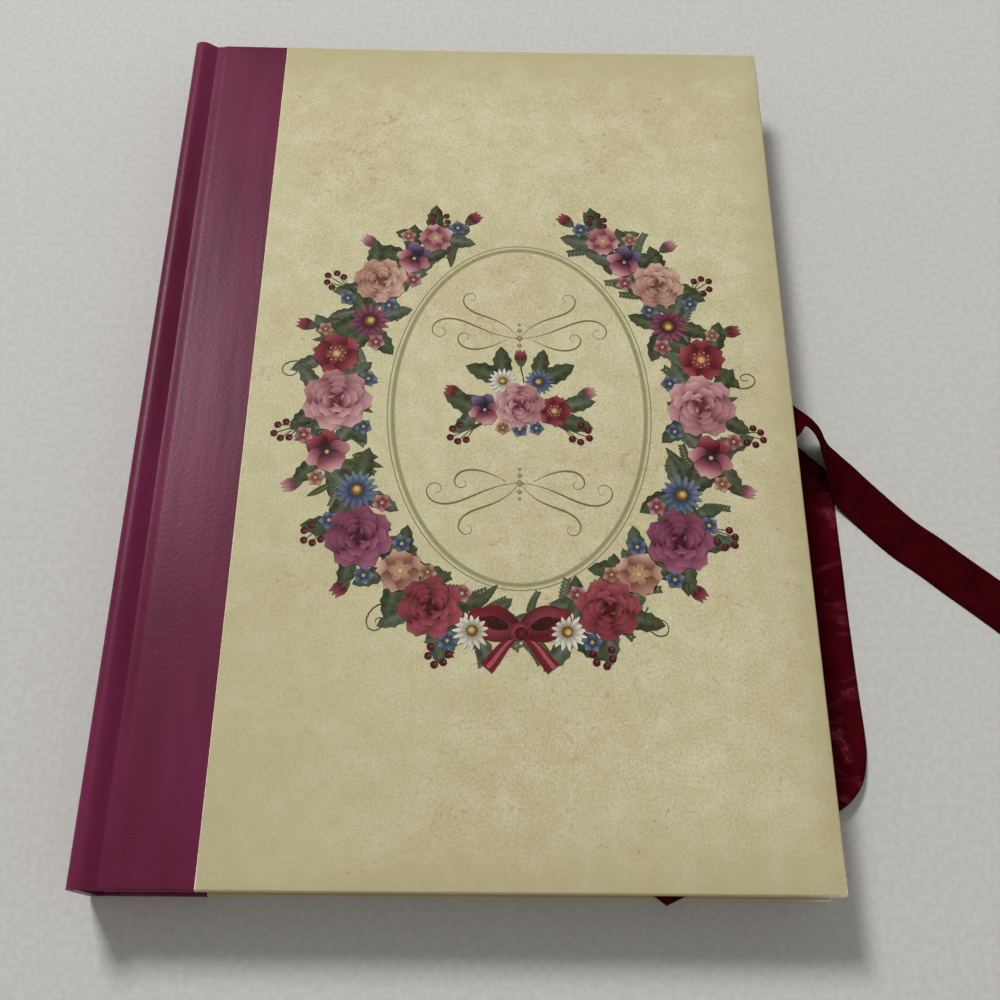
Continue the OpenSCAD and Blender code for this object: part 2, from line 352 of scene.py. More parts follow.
def satinRibbon(name, plan, cloth, paintedGlintShare):
    material, tree, shader = newMaterial(name)
    uv = put(tree, "ShaderNodeUVMap", uv_map="weave").outputs["UV"]
    warpThreads = cloud(tree, stretched(tree, uv, (plan["threadsAcross"], 2.2, 1.0)), 1.0, 2.0)
    weftThreads = cloud(tree, stretched(tree, uv, (3.0, plan["threadsAlong"], 1.0)), 1.0, 1.0)
    creasesAndShade = cloud(tree, stretched(tree, uv, (0.9, 1.5, 1.0)), 1.4, 4.0, 0.55, 0.6)
    # painted highlights: wavy creases across the ribbon, in patches, are painted lighter where they would
    # catch the light
    glintSpeckle = cloud(tree, stretched(tree, uv, (16.0, 20.0, 1.0)), 1.0, 2.0, 0.6, 0.8)
    folds = cloud(tree, stretched(tree, uv, (0.7, 1.5, 1.0)), 1.0, 3.0, 0.5, 0.7)
    fromFold = fromMiddle(tree, folds)
    sharp = between(tree, fromFold, 0.0, 0.012, 0.6, 0.0)
    creaseHighlight = sums(tree, "ADD", sharp, between(tree, fromFold, 0.0, 0.07, 0.4, 0.0))
    patches = between(tree, cloud(tree, stretched(tree, uv, (1.1, 0.8, 1.0)), 1.0, 2.0), 0.42, 0.6)
    paintedGlints = times(tree, times(tree, creaseHighlight, patches), between(tree, glintSpeckle, 0.3, 0.65, 0.3, 1.0))
    colour = tint(tree, between(tree, warpThreads, 0.3, 0.7, 0.5, 1.0), plan["clothDark"], cloth)
    # painted shade: the cloth is darker in its creases
    colour = tint(tree, between(tree, creasesAndShade, 0.35, 0.75, 0.0, 0.5), colour, plan["clothDark"])
    colour = tint(tree, times(tree, paintedGlints, paintedGlintShare), colour, plan["paintedGlint"])
    rough = between(tree, creasesAndShade, 0.3, 0.8, 0.34, 0.5)
    fine = relief(tree, sums(tree, "ADD", warpThreads, weftThreads), 0.25, 0.00008)
    coat(tree, shader, colour, rough, relief(tree, creasesAndShade, 0.35, 0.0004, fine), 0.0)
    return material


def makeRibbon(name, route, plan, material):
    mids = smoothRoute([row[0] for row in route], plan["stepsBetweenPoints"])
    sides = smoothRoute([row[1] for row in route], plan["stepsBetweenPoints"])
    mids[:, 0] += foreEdge
    ahead = np.gradient(mids, axis=0)
    ups = np.cross(sides, ahead)
    ups /= np.linalg.norm(ups, axis=1)[:, None]
    along = np.concatenate([[0], np.cumsum(np.linalg.norm(np.diff(mids, axis=0), axis=1))])
    columns = plan["columns"]
    across = np.linspace(-1, 1, columns + 1)
    points, uvs = [], []
    for mid, side, up, distance in zip(mids, sides, ups, along):
        free = min(1.0, max(0.0, (distance - plan["heldFlat"]) / plan["rippleGrowth"]))
        for face in (1, -1):
            for a in across if face > 0 else across[::-1]:
                ripple = noise.noise((distance / plan["rippleLength"], a * 0.8, 3.0))
                thin = plan["thick"] / 2 * (1.0 if abs(a) < 0.99 else plan["selvedge"])
                lift = free * plan["rippleHeight"] * max(0.0, ripple)
                points.append(mid + side * a * plan["width"] / 2 + up * (face * thin + abs(up[2]) * lift))
                uvs.append(((a + 1) / 2, distance / plan["width"]))
    ring = 2 * (columns + 1)
    faces = []
    for i in range(len(mids) - 1):
        for j in range(ring):
            k = (j + 1) % ring
            faces.append((i * ring + j, i * ring + k, (i + 1) * ring + k, (i + 1) * ring + j))
    last = (len(mids) - 1) * ring
    for j in range(columns):
        u, v = j + 1, ring - 1 - j
        faces.append((j, v, v - 1, u))
        faces.append((last + j, last + u, last + v - 1, last + v))
    ribbon = addPiece(name, points, faces, material)
    layer = ribbon.data.uv_layers.new(name="weave")
    for loop in ribbon.data.loops:
        layer.data[loop.index].uv = uvs[loop.vertex_index]
    shell = bmesh.new()
    shell.from_mesh(ribbon.data)
    bmesh.ops.recalc_face_normals(shell, faces=shell.faces)
    shell.to_mesh(ribbon.data)
    shell.free()
    return ribbon, mids, float(along[-1])


satin = satinRibbon("satinRibbon", ribbonPlan, ribbonPlan["cloth"], ribbonPlan["frontPaintedGlints"])
# painted light: the back tie has a lighter cloth colour and strong painted glints
satinLitGlinted = satinRibbon("satinRibbonLitGlinted", ribbonPlan, ribbonPlan["clothLit"], ribbonPlan["backPaintedGlints"])
frontRibbon, frontPath, frontLength = makeRibbon("frontRibbon", frontRoute, ribbonPlan, satin)
backRibbon, backPath, backLength = makeRibbon("backRibbon", backRoute, ribbonPlan, satinLitGlinted)
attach(frontRibbon, "front_cover")
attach(backRibbon, "back_cover")
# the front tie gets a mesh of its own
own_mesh(frontRibbon)
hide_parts("front_ribbon")
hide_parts("back_ribbon")
print("ribbons laid", round(frontLength, 3), round(backLength, 3))


# Paper and board finishes

paperPlan = {
    "cream": "#c4be97",
    "creamDeep": "#b1aa80",
    "creamWarm": "#bcae88",
    "creamPale": "#d6d1b0",
    "fibre": "#a0976d",
    "foxing": "#8a6a44",
    "stain": "#99784f",
    "edgeToneAndShade": "#aaa078",
    "worn": "#e6e1d0",
}


def creamPaper(plan, name, seed):
    material, tree, shader = newMaterial(name)
    place = objectPlace(tree)
    shift = {"Vector": place, "Location": (seed, seed * 0.7, 0)}
    moved = put(tree, "ShaderNodeMapping", shift).outputs["Vector"]
    drift = cloud(tree, moved, 24.0, 3.0, 0.55)
    clouds = cloud(tree, moved, 105.0, 3.0, 0.6)
    mottle = cloud(tree, moved, 1300.0, 3.0, 0.6)
    fibre = cloud(tree, stretched(tree, moved, (1.0, 0.45, 1.0)), 2200.0, 3.0, 0.65)
    colour = tint(tree, between(tree, drift, 0.38, 0.68, 0.0, 0.6), plan["cream"], plan["creamWarm"])
    for pattern, limits, shade in (
            (clouds, (0.45, 0.7, 0.0, 0.4), "creamPale"), (clouds, (0.3, 0.5, 0.35, 0.0), "creamDeep"),
            (mottle, (0.44, 0.7, 0.0, 0.5), "creamPale"), (mottle, (0.32, 0.5, 0.5, 0.0), "creamDeep"),
            (fibre, (0.5, 0.72, 0.0, 0.55), "fibre")):
        colour = tint(tree, between(tree, pattern, *limits), colour, plan[shade])
    # a few brown specks, and short faint hairs that lie any way
    patches = between(tree, cloud(tree, moved, 19.0, 2.0), 0.53, 0.66)
    specks = between(tree, cloud(tree, moved, 420.0, 1.0, 0.4), 0.75, 0.79)
    strands = cloud(tree, stretched(tree, moved, (1.0, 0.3, 1.0)), 620.0, 2.0, 0.5, 1.2)
    hairs = between(tree, strands, 0.73, 0.78)
    marks = times(tree, sums(tree, "MAXIMUM", hairs, specks), patches)
    colour = tint(tree, times(tree, marks, 0.5), colour, plan["foxing"])
    # broken tan stains in clusters
    stain = cloud(tree, moved, 75.0, 3.0, 0.55, 0.9)
    veins = between(tree, fromMiddle(tree, stain), 0.0, 0.03, 1.0, 0.0)
    clusters = between(tree, cloud(tree, moved, 27.0, 2.0), 0.5, 0.6)
    broken = between(tree, cloud(tree, moved, 330.0, 3.0, 0.6), 0.5, 0.64)
    blots = times(tree, times(tree, veins, clusters), broken)
    colour = tint(tree, times(tree, blots, 0.4), colour, plan["stain"])
    # toned paper near the edges, and painted shade darkening it towards the bottom-left beside the plum
    rim = attribute(tree, "rim")
    toneAndShade = times(tree, rim, between(tree, mottle, 0.25, 0.75, 0.45, 0.8))
    colour = tint(tree, toneAndShade, colour, plan["edgeToneAndShade"])
    worn = attribute(tree, "worn")
    # pale where worn, with a painted highlight along the cut edge
    wearAndHighlight = between(tree, sums(tree, "ADD", worn, between(tree, fibre, 0.2, 0.8, -0.35, 0.35)), 0.55, 0.8)
    colour = tint(tree, wearAndHighlight, colour, plan["worn"])
    rough = between(tree, mottle, 0.2, 0.8, 0.52, 0.66)
    coarse = relief(tree, mottle, 0.10, 0.0002)
    coat(tree, shader, colour, rough, relief(tree, fibre, 0.14, 0.0001, coarse), 0.1)
    return material


plumPlan = {
    "plum": "#671c3e",
    "plumDeep": "#57122f",
    "plumPale": "#783553",
    "worn": "#9d7080",
}


def plumPaper(plan):
    material, tree, shader = newMaterial("plumPaper")
    place = objectPlace(tree)
    drift = cloud(tree, stretched(tree, place, (1.0, 0.25, 1.0)), 60.0, 3.0, 0.5)
    grain = cloud(tree, place, 1500.0, 3.0, 0.6)
    colour = tint(tree, between(tree, drift, 0.3, 0.7), plan["plumDeep"], plan["plum"])
    colour = tint(tree, between(tree, grain, 0.45, 0.8, 0.0, 0.2), colour, plan["plumPale"])
    worn = attribute(tree, "worn")
    uneven = sums(tree, "ADD", worn, between(tree, grain, 0.2, 0.8, -0.4, 0.4))
    colour = tint(tree, between(tree, uneven, 0.5, 0.95, 0.0, 0.6), colour, plan["worn"])
    rough = between(tree, grain, 0.2, 0.8, 0.32, 0.4)
    # pebbled sheen in long soft streaks
    pebbles = cloud(tree, place, 700.0, 2.0, 0.5)
    streaks = cloud(tree, stretched(tree, place, (1.0, 0.12, 1.0)), 150.0, 2.0, 0.5)
    fine = relief(tree, grain, 0.22, 0.0001)
    soft = relief(tree, pebbles, 0.22, 0.0002, fine)
    coat(tree, shader, colour, rough, relief(tree, streaks, 0.2, 0.0006, soft), 0.16)
    return material


# pale and deep colour, and roughness
sheetPlan = {
    "endpaper": ("#ddd3b6", "#cfc39f", 0.62),
    "leaf": ("#e2d9c0", "#d3c7a6", 0.66),
    "guard": ("#d9d0b8", "#c8bc9c", 0.7),
    "lining": ("#cfc6b0", "#b9ae94", 0.75),
}


def plainPaper(name, colours):
    pale, deep, matt = colours
    material, tree, shader = newMaterial(name)
    place = objectPlace(tree)
    drift = cloud(tree, place, 30.0, 3.0)
    fibre = cloud(tree, stretched(tree, place, (1.0, 0.35, 1.0)), 1800.0, 3.0, 0.6)
    colour = tint(tree, between(tree, drift, 0.3, 0.75, 0.0, 0.2), pale, deep)
    colour = tint(tree, between(tree, fibre, 0.45, 0.8, 0.0, 0.45), colour, deep)
    rough = between(tree, fibre, 0.2, 0.8, matt - 0.06, matt + 0.06)
    coat(tree, shader, colour, rough, relief(tree, fibre, 0.15, 0.0001), 0.3)
    return material


leafPlan = {
    "handled": "#c2b286",
    "handledWidth": 0.012,
    "handledShare": 0.6,
}


def leafCard(name, colours, plan):
    # card leaf: handled edges are a shade yellower than the page
    material = plainPaper(name, colours)
    tree = material.node_tree
    shader = next(n for n in tree.nodes if n.type == "BSDF_PRINCIPLED")
    page = shader.inputs["Base Color"].links[0].from_socket
    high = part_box("leaf_01")[1]
    axes = put(tree, "ShaderNodeSeparateXYZ", {"Vector": objectPlace(tree)}).outputs
    fromSide = between(tree, axes["X"], high.x - plan["handledWidth"], high.x)
    fromEnd = between(tree, sums(tree, "ABSOLUTE", axes["Y"]), high.y - plan["handledWidth"], high.y)
    aged = times(tree, sums(tree, "MAXIMUM", fromSide, fromEnd), plan["handledShare"])
    feed(tree, shader.inputs["Base Color"], tint(tree, aged, page, plan["handled"]))
    return material


def greyBoard():
    material, tree, shader = newMaterial("greyBoard")
    place = objectPlace(tree)
    flecks = cloud(tree, place, 900.0, 4.0, 0.7)
    layers = cloud(tree, stretched(tree, place, (0.05, 0.05, 6.0)), 500.0, 2.0)
    colour = tint(tree, between(tree, flecks, 0.35, 0.7), "#8f877a", "#aaa292")
    colour = tint(tree, between(tree, layers, 0.45, 0.7, 0.0, 0.4), colour, "#7b7468")
    coat(tree, shader, colour, 0.85, relief(tree, flecks, 0.3, 0.0002))
    return material


def linenThread():
    material, tree, shader = newMaterial("linenThread")
    place = objectPlace(tree)
    twist = put(tree, "ShaderNodeTexWave", {"Vector": place, "Scale": 420.0, "Distortion": 0.6},
                wave_type="BANDS", bands_direction="DIAGONAL").outputs["Fac"]
    fluff = cloud(tree, place, 2500.0, 2.0)
    colour = tint(tree, twist, "#b8ab8c", "#e6dcc4")
    colour = tint(tree, between(tree, fluff, 0.4, 0.8, 0.0, 0.3), colour, "#9c8f70")
    coat(tree, shader, colour, 0.8, relief(tree, twist, 0.5, 0.0002))
    return material


plum = plumPaper(plumPlan)
frontCream = creamPaper(paperPlan, "creamPaperFront", 0.0)
backCream = creamPaper(paperPlan, "creamPaperBack", 4.3)
endpaper = plainPaper("endpaper", sheetPlan["endpaper"])
leafPaper = leafCard("leafCard", sheetPlan["leaf"], leafPlan)
guardPaper = plainPaper("guardPaper", sheetPlan["guard"])
liningPaper = plainPaper("liningPaper", sheetPlan["lining"])
board = greyBoard()
print("finishes made")


# Covers: the cream paper lies over the plum quarter covering

coverPlan = {
    "lap": 0.00012,          # step of the cream paper above the plum
    "edgeRadius": 0.0007,
    "cornerLift": 0.0016,    # the head corner of the front cover has lifted
    "liftBelow": 0.2,        # from this share of the half height below the middle
    "edgeRoll": 0.00035,     # its fore-edge rolls down a little
    "rollWidth": 0.2,        # share of the cream paper's width
    "sideInset": 0.00003,
    "rimWidth": 0.034,       # the paper is a shade darker this far in from its edges
    "tailShade": 0.28,        # and further in beside the tail of the plum, as painted shade
    "rubWidth": 0.0012,
    "cornerRub": 0.012,
    "litCutEdge": 0.0005,       # painted highlight: a pale line where the paper is cut beside the plum
    "frontStep": 0.006,
    "backStep": 0.008,
}


def frontWarp(x, y):
    below, width = coverPlan["liftBelow"], coverPlan["rollWidth"]
    across = max(0.0, (x - quarterLine) / (foreEdge - quarterLine))
    up = max(0.0, (y + below * halfHeight) / ((1 + below) * halfHeight))
    roll = max(0.0, (across - (1 - width)) / width)
    return coverPlan["cornerLift"] * across ** 2 * up ** 2 - coverPlan["edgeRoll"] * roll ** 2 * (1 - up)


def liftCorner(points):
    points[:, 2] += [frontWarp(x, y) for x, y in points[:, :2]]


def ticks(low, high, radius, step, squareLow=False):
    # grid lines from low to high: close together where the edge is rounded
    near = [radius * (1 - math.tan(math.radians(a))) for a in (45, 32, 20, 9)]
    start = [low, low + coverPlan["litCutEdge"]] if squareLow else [low + d for d in near] + [low + radius]
    end = [high - radius] + [high - d for d in reversed(near)]
    count = max(2, round((high - low) / step)) + 1
    inner = np.linspace(low if squareLow else low + radius, high - radius, count)
    return sorted(set(np.round(start + list(inner) + end, 7)))


def roundedSlab(low, high, radius, step, squareLeft=False):
    # closed box with rounded edges, from six gridded faces
    lines = [ticks(low[0], high[0], radius, step, squareLeft)]
    lines += [ticks(low[i], high[i], min(radius, (high[i] - low[i]) / 2 - 1e-5), step) for i in (1, 2)]
    innerLow = np.array(low) + radius
    innerHigh = np.array(high) - radius
    if squareLeft:
        innerLow[0] = low[0]
    points, faces, index = [], [], {}

    def vertex(p):
        key = tuple(np.round(p, 7))
        if key not in index:
            core = np.clip(p, innerLow, innerHigh)
            away = np.array(p) - core
            size = np.linalg.norm(away)
            index[key] = len(points)
            points.append(core + away / size * radius if size > 1e-9 else np.array(p))
        return index[key]

    for axis in range(3):
        u, v = (axis + 1) % 3, (axis + 2) % 3
        for end, flip in ((low[axis], True), (high[axis], False)):
            for i in range(len(lines[u]) - 1):
                for j in range(len(lines[v]) - 1):
                    face = []
                    for a, b in ((0, 0), (1, 0), (1, 1), (0, 1)):
                        p = np.zeros(3)
                        p[axis], p[u], p[v] = end, lines[u][i + a], lines[v][j + b]
                        face.append(vertex(p))
                    faces.append(tuple(reversed(face)) if flip else tuple(face))
    return np.array(points), faces


def coverRim(points, low, high):
    # rim: nearness to the three free edges, where the paper is toned, and to the tail of the plum, where
    # shade is painted
    # worn: rubbed edges and corners, and a painted highlight along the cut edge
    side = high[0] - points[:, 0]
    ends = halfHeight - np.abs(points[:, 1])
    nearest = np.minimum(side, ends)
    tail = np.hypot(points[:, 0] - low[0], 0.6 * (points[:, 1] + halfHeight))
    toneAndShade = np.minimum(np.minimum(2 * side, ends), coverPlan["tailShade"] * tail)
    rim = np.clip(1 - toneAndShade / coverPlan["rimWidth"], 0, 1) ** 1.5
    corner = np.clip(1 - np.hypot(side, ends) / coverPlan["cornerRub"], 0, 1)
    rub = np.clip(1 - nearest / coverPlan["rubWidth"], 0, 1)
    cutHighlight = np.clip(1 - (points[:, 0] - low[0]) / coverPlan["litCutEdge"], 0, 1)
    return rim, np.clip(rub * 0.5 + corner * rub * 0.6 + cutHighlight * 0.9, 0, 1)


def makeCreamCover(name, lowZ, highZ, material, step, lifted):
    low = (quarterLine, coverPlan["sideInset"] - halfHeight, lowZ)
    high = (foreEdge, halfHeight - coverPlan["sideInset"], highZ)
    points, faces = roundedSlab(low, high, coverPlan["edgeRadius"], step, squareLeft=True)
    rim, worn = coverRim(points, low, high)
    if lifted:
        liftCorner(points)
    cover = addPiece(name, points, faces, material)
    floatAttribute(cover, "rim", rim)
    floatAttribute(cover, "worn", worn)
    return cover


frontCover = makeCreamCover("frontCoverPaper", frontLow.z, coverTop + coverPlan["lap"], frontCream,
                            coverPlan["frontStep"], True)
backCover = makeCreamCover("backCoverPaper", 0.0, backHigh.z, backCream, coverPlan["backStep"], False)
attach(frontCover, "front_cover")
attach(backCover, "back_cover")
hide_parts("front_cover_paper")
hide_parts("back_cover_paper")
print("cream covers wrapped")


# Plum quarter covering: a sheet bent over the spine's edge, down the groove and onto the board

quarterPlan = {
    "thick": 0.0003,
    "wallShare": 0.8,        # of it, so that the sheet clears the board
    "spineRadius": 0.002,
    "ridgeReach": 0.003,     # the front ridge is rounded further in than it is high
    # the joint from its crest to the flat: distance from the spine's face, depth, slope
    "frontGroove": ((0.003, -0.0018, 0.0), (0.0078, 0.0006, 0.6),
                    (0.0084, 0.00076, -0.13), (0.0125, 0.0, 0.0)),
    "backGroove": ((0.004, 0.0, 0.0), (0.007, 0.0014, 0.0), (0.01, 0.0, 0.0)),
    "underCream": 0.0035,    # runs on beneath the cream paper
    "tuck": 0.00025,         # and lies this far inside it
    "turnIn": 0.013,
    "foldDepth": 2.2,        # folded in this many thicknesses deep, away from the boards
    "boardEase": 0.0006,     # and round the whole board from its edge, give or take this much
    "boardFlat": 0.0007,
    "seamHeight": 0.0023,    # where front and back halves of the sheet meet on the spine
    "rubbedRidge": (0.0012, 0.0018),    # distance from the spine's face, and reach
    "rubbedEnd": 0.003,
    "arcSteps": 12,
    "waveSteps": 48,
    "step": 0.006,
    "endMargin": 0.003,
}


def ease(t):
    return (1 - math.cos(math.pi * t)) / 2


def grooveDrop(x, groove):
    # smooth curve through the listed points
    x -= spineFace
    for (fromX, fromZ, fromSlope), (toX, toZ, toSlope) in zip(groove, groove[1:]):
        if x <= toX:
            span = toX - fromX
            t = (x - fromX) / span
            curve = (t ** 3 - 2 * t * t + t) * fromSlope + (t ** 3 - t * t) * toSlope
            return fromZ + (toZ - fromZ) * ease(t) + span * curve
    return 0.0


def quarterProfile(plan, groove, ridge, seam):
    # section from the spine's face to the board, with the cover's outer face at zero and inside upwards
    radius = plan["spineRadius"]
    reach = plan["ridgeReach"] if ridge else radius
    middle = (spineFace + reach, radius - ridge)
    rows = [(spineFace, z, -1.0, 0.0) for z in np.linspace(seam, middle[1], 5)[:-1]]
    for i in range(plan["arcSteps"] + 1):
        a = math.radians(180 + 90 * i / plan["arcSteps"])
        out = Vector((math.cos(a) / reach, math.sin(a) / radius)).normalized()
        rows.append((middle[0] + reach * math.cos(a), middle[1] + radius * math.sin(a), out.x, out.y))
    across = np.linspace(spineFace + groove[0][0], spineFace + groove[-1][0], plan["waveSteps"] + 1)
    across = across[across > middle[0] + 0.00001]
    wave = [grooveDrop(x, groove) for x in across]
    for x, z, slope in zip(across, wave, np.gradient(wave, across)):
        size = math.hypot(slope, 1)
        onBoard = x > boardEdge - plan["boardEase"]
        rows.append((x, z, 0.0, -1.0) if onBoard else (x, z, slope / size, -1 / size))
    shoulder = max(across[-1], boardEdge + plan["boardFlat"])
    flat = [shoulder, *np.linspace(shoulder, quarterLine, 8)[1:]]
    flat += [quarterLine + plan["tuck"], quarterLine + plan["underCream"]]
    rows += [(x, 0.0, 0.0, -1.0) for x in flat if x > across[-1]]
    return rows


def sheetColumns(plan, drop, edge, full):
    # places along Y and depths below the face: folded in at both ends of the sheet
    radius = min(coverPlan["edgeRadius"], drop / 2.01)
    bends = np.radians((0, 22, 45, 68, 90))
    half = [(full - plan["turnIn"], drop), (full - 2 * radius, drop)]
    half += [(edge - radius + radius * math.sin(a), drop - radius + radius * math.cos(a)) for a in bends]
    half += [(edge - radius + radius * math.cos(a), radius - radius * math.sin(a)) for a in bends]
    count = round(2 * edge / plan["step"])
    inside = [(y, 0.0) for y in np.linspace(edge - plan["endMargin"], plan["endMargin"] - edge, count)]
    return half + inside + [(-y, d) for y, d in reversed(half)]


def makeQuarter(name, plan, groove, ridge, seam, flipTop):
    rows = quarterProfile(plan, groove, ridge, seam)
    boardDrop = frontHigh.z - frontLow.z
    folded = plan["foldDepth"] * plan["thick"]
    ridgeX, ridgeReach = plan["rubbedRidge"]
    points, faces, worn = [], [], []
    for x, z, nx, nz in rows:
        share = min(1.0, max(0.0, (x - boardEdge + plan["boardEase"]) / (2 * plan["boardEase"])))
        tuck = plan["tuck"] if x > quarterLine else 0.0
        drop = folded + share * (boardDrop - tuck - max(0.0, z) - folded)
        columns = sheetColumns(plan, drop, halfHeight - tuck, halfHeight)
        for y, depth in columns:
            px, pz = x - nx * depth, z - nz * depth
            points.append((px, y, flipTop - pz if flipTop else pz))
            onRidge = max(0.0, 1 - abs(x - spineFace - ridgeX) / ridgeReach)
            atEnd = max(0.0, 1 - (halfHeight - abs(y)) / plan["rubbedEnd"])
            worn.append(min(1.0, 0.12 * onRidge + 0.5 * atEnd * (0.4 + onRidge)))
    width = len(columns)
    for i in range(len(rows) - 1):
        for j in range(width - 1):
            face = (i * width + j, (i + 1) * width + j, (i + 1) * width + j + 1, i * width + j + 1)
            faces.append(tuple(reversed(face)) if flipTop else face)
    sheet = addPiece(name, points, faces, plum)
    floatAttribute(sheet, "worn", worn)
    wall = sheet.modifiers.new("wall", "SOLIDIFY")
    wall.thickness = plan["thick"] * plan["wallShare"]
    wall.offset = -1
    return bake(sheet)


ridgeHeight = spineTop - coverTop
seam = quarterPlan["seamHeight"]
frontQuarter = makeQuarter("frontQuarterCovering", quarterPlan, quarterPlan["frontGroove"], ridgeHeight,
                           coverTop - seam, coverTop)
backQuarter = makeQuarter("backQuarterCovering", quarterPlan, quarterPlan["backGroove"], 0.0, seam, 0.0)
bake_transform(frontQuarter)
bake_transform(backQuarter)
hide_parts("front_quarter_cover", "spine_cover")
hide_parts("back_quarter_cover")


spineEndPlan = {
    "setBack": 0.0001,       # cap behind the outside of the covering
    "capDepth": 0.0005,
    "thick": 0.0002,
    "turnInEnd": 0.0003,
    "sideGap": 0.0002,       # clear of the covering's folds
    "capRadius": 0.00018,
    "turnInRadius": 0.00009,
    "step": 0.004,
    "worn": 0.15,
}


def makeSpineEnds(plan):
    # covering turned in over both ends of the spine board and onto its inner face
    low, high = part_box("spine_board")
    bottom, top, inside = low.z + plan["sideGap"], high.z - plan["sideGap"], high.x + plan["thick"]
    points, faces = roundedSlab((low.x + plan["setBack"], halfHeight - plan["capDepth"], bottom),
                                (inside, halfHeight - plan["setBack"], top), plan["capRadius"], plan["step"])
    inner, innerFaces = roundedSlab((high.x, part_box("spine_lining")[1].y, bottom),
                                    (inside, halfHeight - plan["turnInEnd"], top),
                                    plan["turnInRadius"], plan["step"])
    faces += [tuple(len(points) + i for i in face) for face in innerFaces]
    points = np.concatenate([points, inner])
    mirrored = points * np.array((1, -1, 1))
    count = len(points)
    faces += [tuple(count + i for i in reversed(face)) for face in faces]
    ends = addPiece("spineEnds", np.concatenate([points, mirrored]), faces, plum)
    floatAttribute(ends, "worn", np.full(2 * count, plan["worn"]))
    return ends


spineEnds = makeSpineEnds(spineEndPlan)
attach(spineEnds, "spine")


stripPlan = {
    "proud": 0.0002,         # stands out from the board's edge
    "onBoard": 0.0009,
    "endGap": 0.0003,
    "frontGaps": (0.00005, 0.0003),     # below and above
    "backGaps": (0.00035, 0.00002),
    "shoulder": 0.004,       # the joint is deepest within this distance of the board's edge
    "radius": 0.0001,
    "step": 0.006,
}


def makeJointStrip(name, plan, low, high, gaps):
    # covering pressed against the edge of a board inside the joint
    start = (boardEdge - plan["proud"], plan["endGap"] - halfHeight, low + gaps[0])
    end = (boardEdge + plan["onBoard"], halfHeight - plan["endGap"], high - gaps[1])
    points, faces = roundedSlab(start, end, plan["radius"], plan["step"])
    strip = addPiece(name, points, faces, plum)
    floatAttribute(strip, "worn", np.zeros(len(points)))
    return strip


shoulderLine = np.linspace(boardEdge, boardEdge + stripPlan["shoulder"], 9)
shoulderDrop = max(grooveDrop(x, quarterPlan["frontGroove"]) for x in shoulderLine)
frontStrip = makeJointStrip("frontJointStrip", stripPlan, frontLow.z, coverTop - shoulderDrop,
                            stripPlan["frontGaps"])
backStrip = makeJointStrip("backJointStrip", stripPlan, 0.0, backHigh.z, stripPlan["backGaps"])
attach(frontStrip, "front_cover")
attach(backStrip, "back_cover")
print("quarter covering folded")


# Endpapers, boards, leaves and thread

pastePlan = {
    "radius": 0.00009,
    "step": 0.006,
    "bedded": 0.00005,       # into the turned-in covering
}


def makePastedown(plan):
    start = (boardEdge, pasteLow.y, pasteLow.z)
    end = (pasteHigh.x, pasteHigh.y, frontLow.z + plan["bedded"])
    points, faces = roundedSlab(start, end, plan["radius"], plan["step"])
    liftCorner(points)
    return addPiece("frontPastedown", points, faces, endpaper)


frontPastedown = makePastedown(pastePlan)
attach(frontPastedown, "front_cover")
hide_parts("front_pastedown")


boardPlan = {
    "radius": 0.0002,
    "step": 0.008,
    "sandedWidth": 0.001,
    "sandedBelow": 0.0002,   # under the covering's shoulder
}


def makeFrontBoard(plan):
    # the board lifts at its corner with its covering, and is sanded down beside the joint
    low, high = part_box("front_board")
    points, faces = roundedSlab(tuple(low), tuple(high), plan["radius"], plan["step"])
    sanded = (points[:, 0] < low.x + plan["sandedWidth"]) & (points[:, 2] > (low.z + high.z) / 2)
    points[sanded, 2] -= shoulderDrop + plan["sandedBelow"]
    liftCorner(points)
    return addPiece("frontBoard", points, faces, board)


frontBoard = makeFrontBoard(boardPlan)
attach(frontBoard, "front_cover")
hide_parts("front_board")

for node in ("back_pastedown", "front_flyleaf", "back_flyleaf"):
    dress(node, endpaper)
for node in ("back_board", "spine_board"):
    dress(node, board)
dress("spine_lining", liningPaper)
dress("binding_thread", linenThread())
for node in frame["nodes"]:
    if node.startswith("leaf_"):
        dress(node, leafPaper)
    elif node.startswith("guard_"):
        dress(node, guardPaper)
print("book block dressed")


# Print on the front cover: two sprays of flat coloured shapes about an oval,
# each shape laid a little above the last

artPlan = {
    "middle": (0.0165, -0.0018),
    "spray": (0.0605, 0.0765),      # half-axes of the sprays' middle line
    "sprayHead": 68,                # degrees above level where a spray ends
    "oval": (0.0438, 0.0645),
    "film": 0.000012,               # lowest layer above the paper
    "step": 0.0000025,              # between the layers of one flower
    "greensTop": 0.000055,
    "leavesTop": 0.000105,
    "level": 0.000036,              # between flowers that overlap
    "budLevel": 0.4,
    "greenCount": 190,
    "greenSpread": 0.0085,
    "greenLean": 1.25,
    "greenSizes": (0.0085, 0.0135),
    "greenLift": 0.00000025,
    "leafSizes": (12, 15.5),        # leaves beneath the flowers, in millimetres
    "leafReach": (0.45, 0.002),     # share of the flower, and beyond
    "leafSway": 0.3,
    "leafLift": 0.0000003,
    "greenShare": 0.6,              # the other leaves are sage
    "bowDrop": 0.001,
    "seed": 11,
}
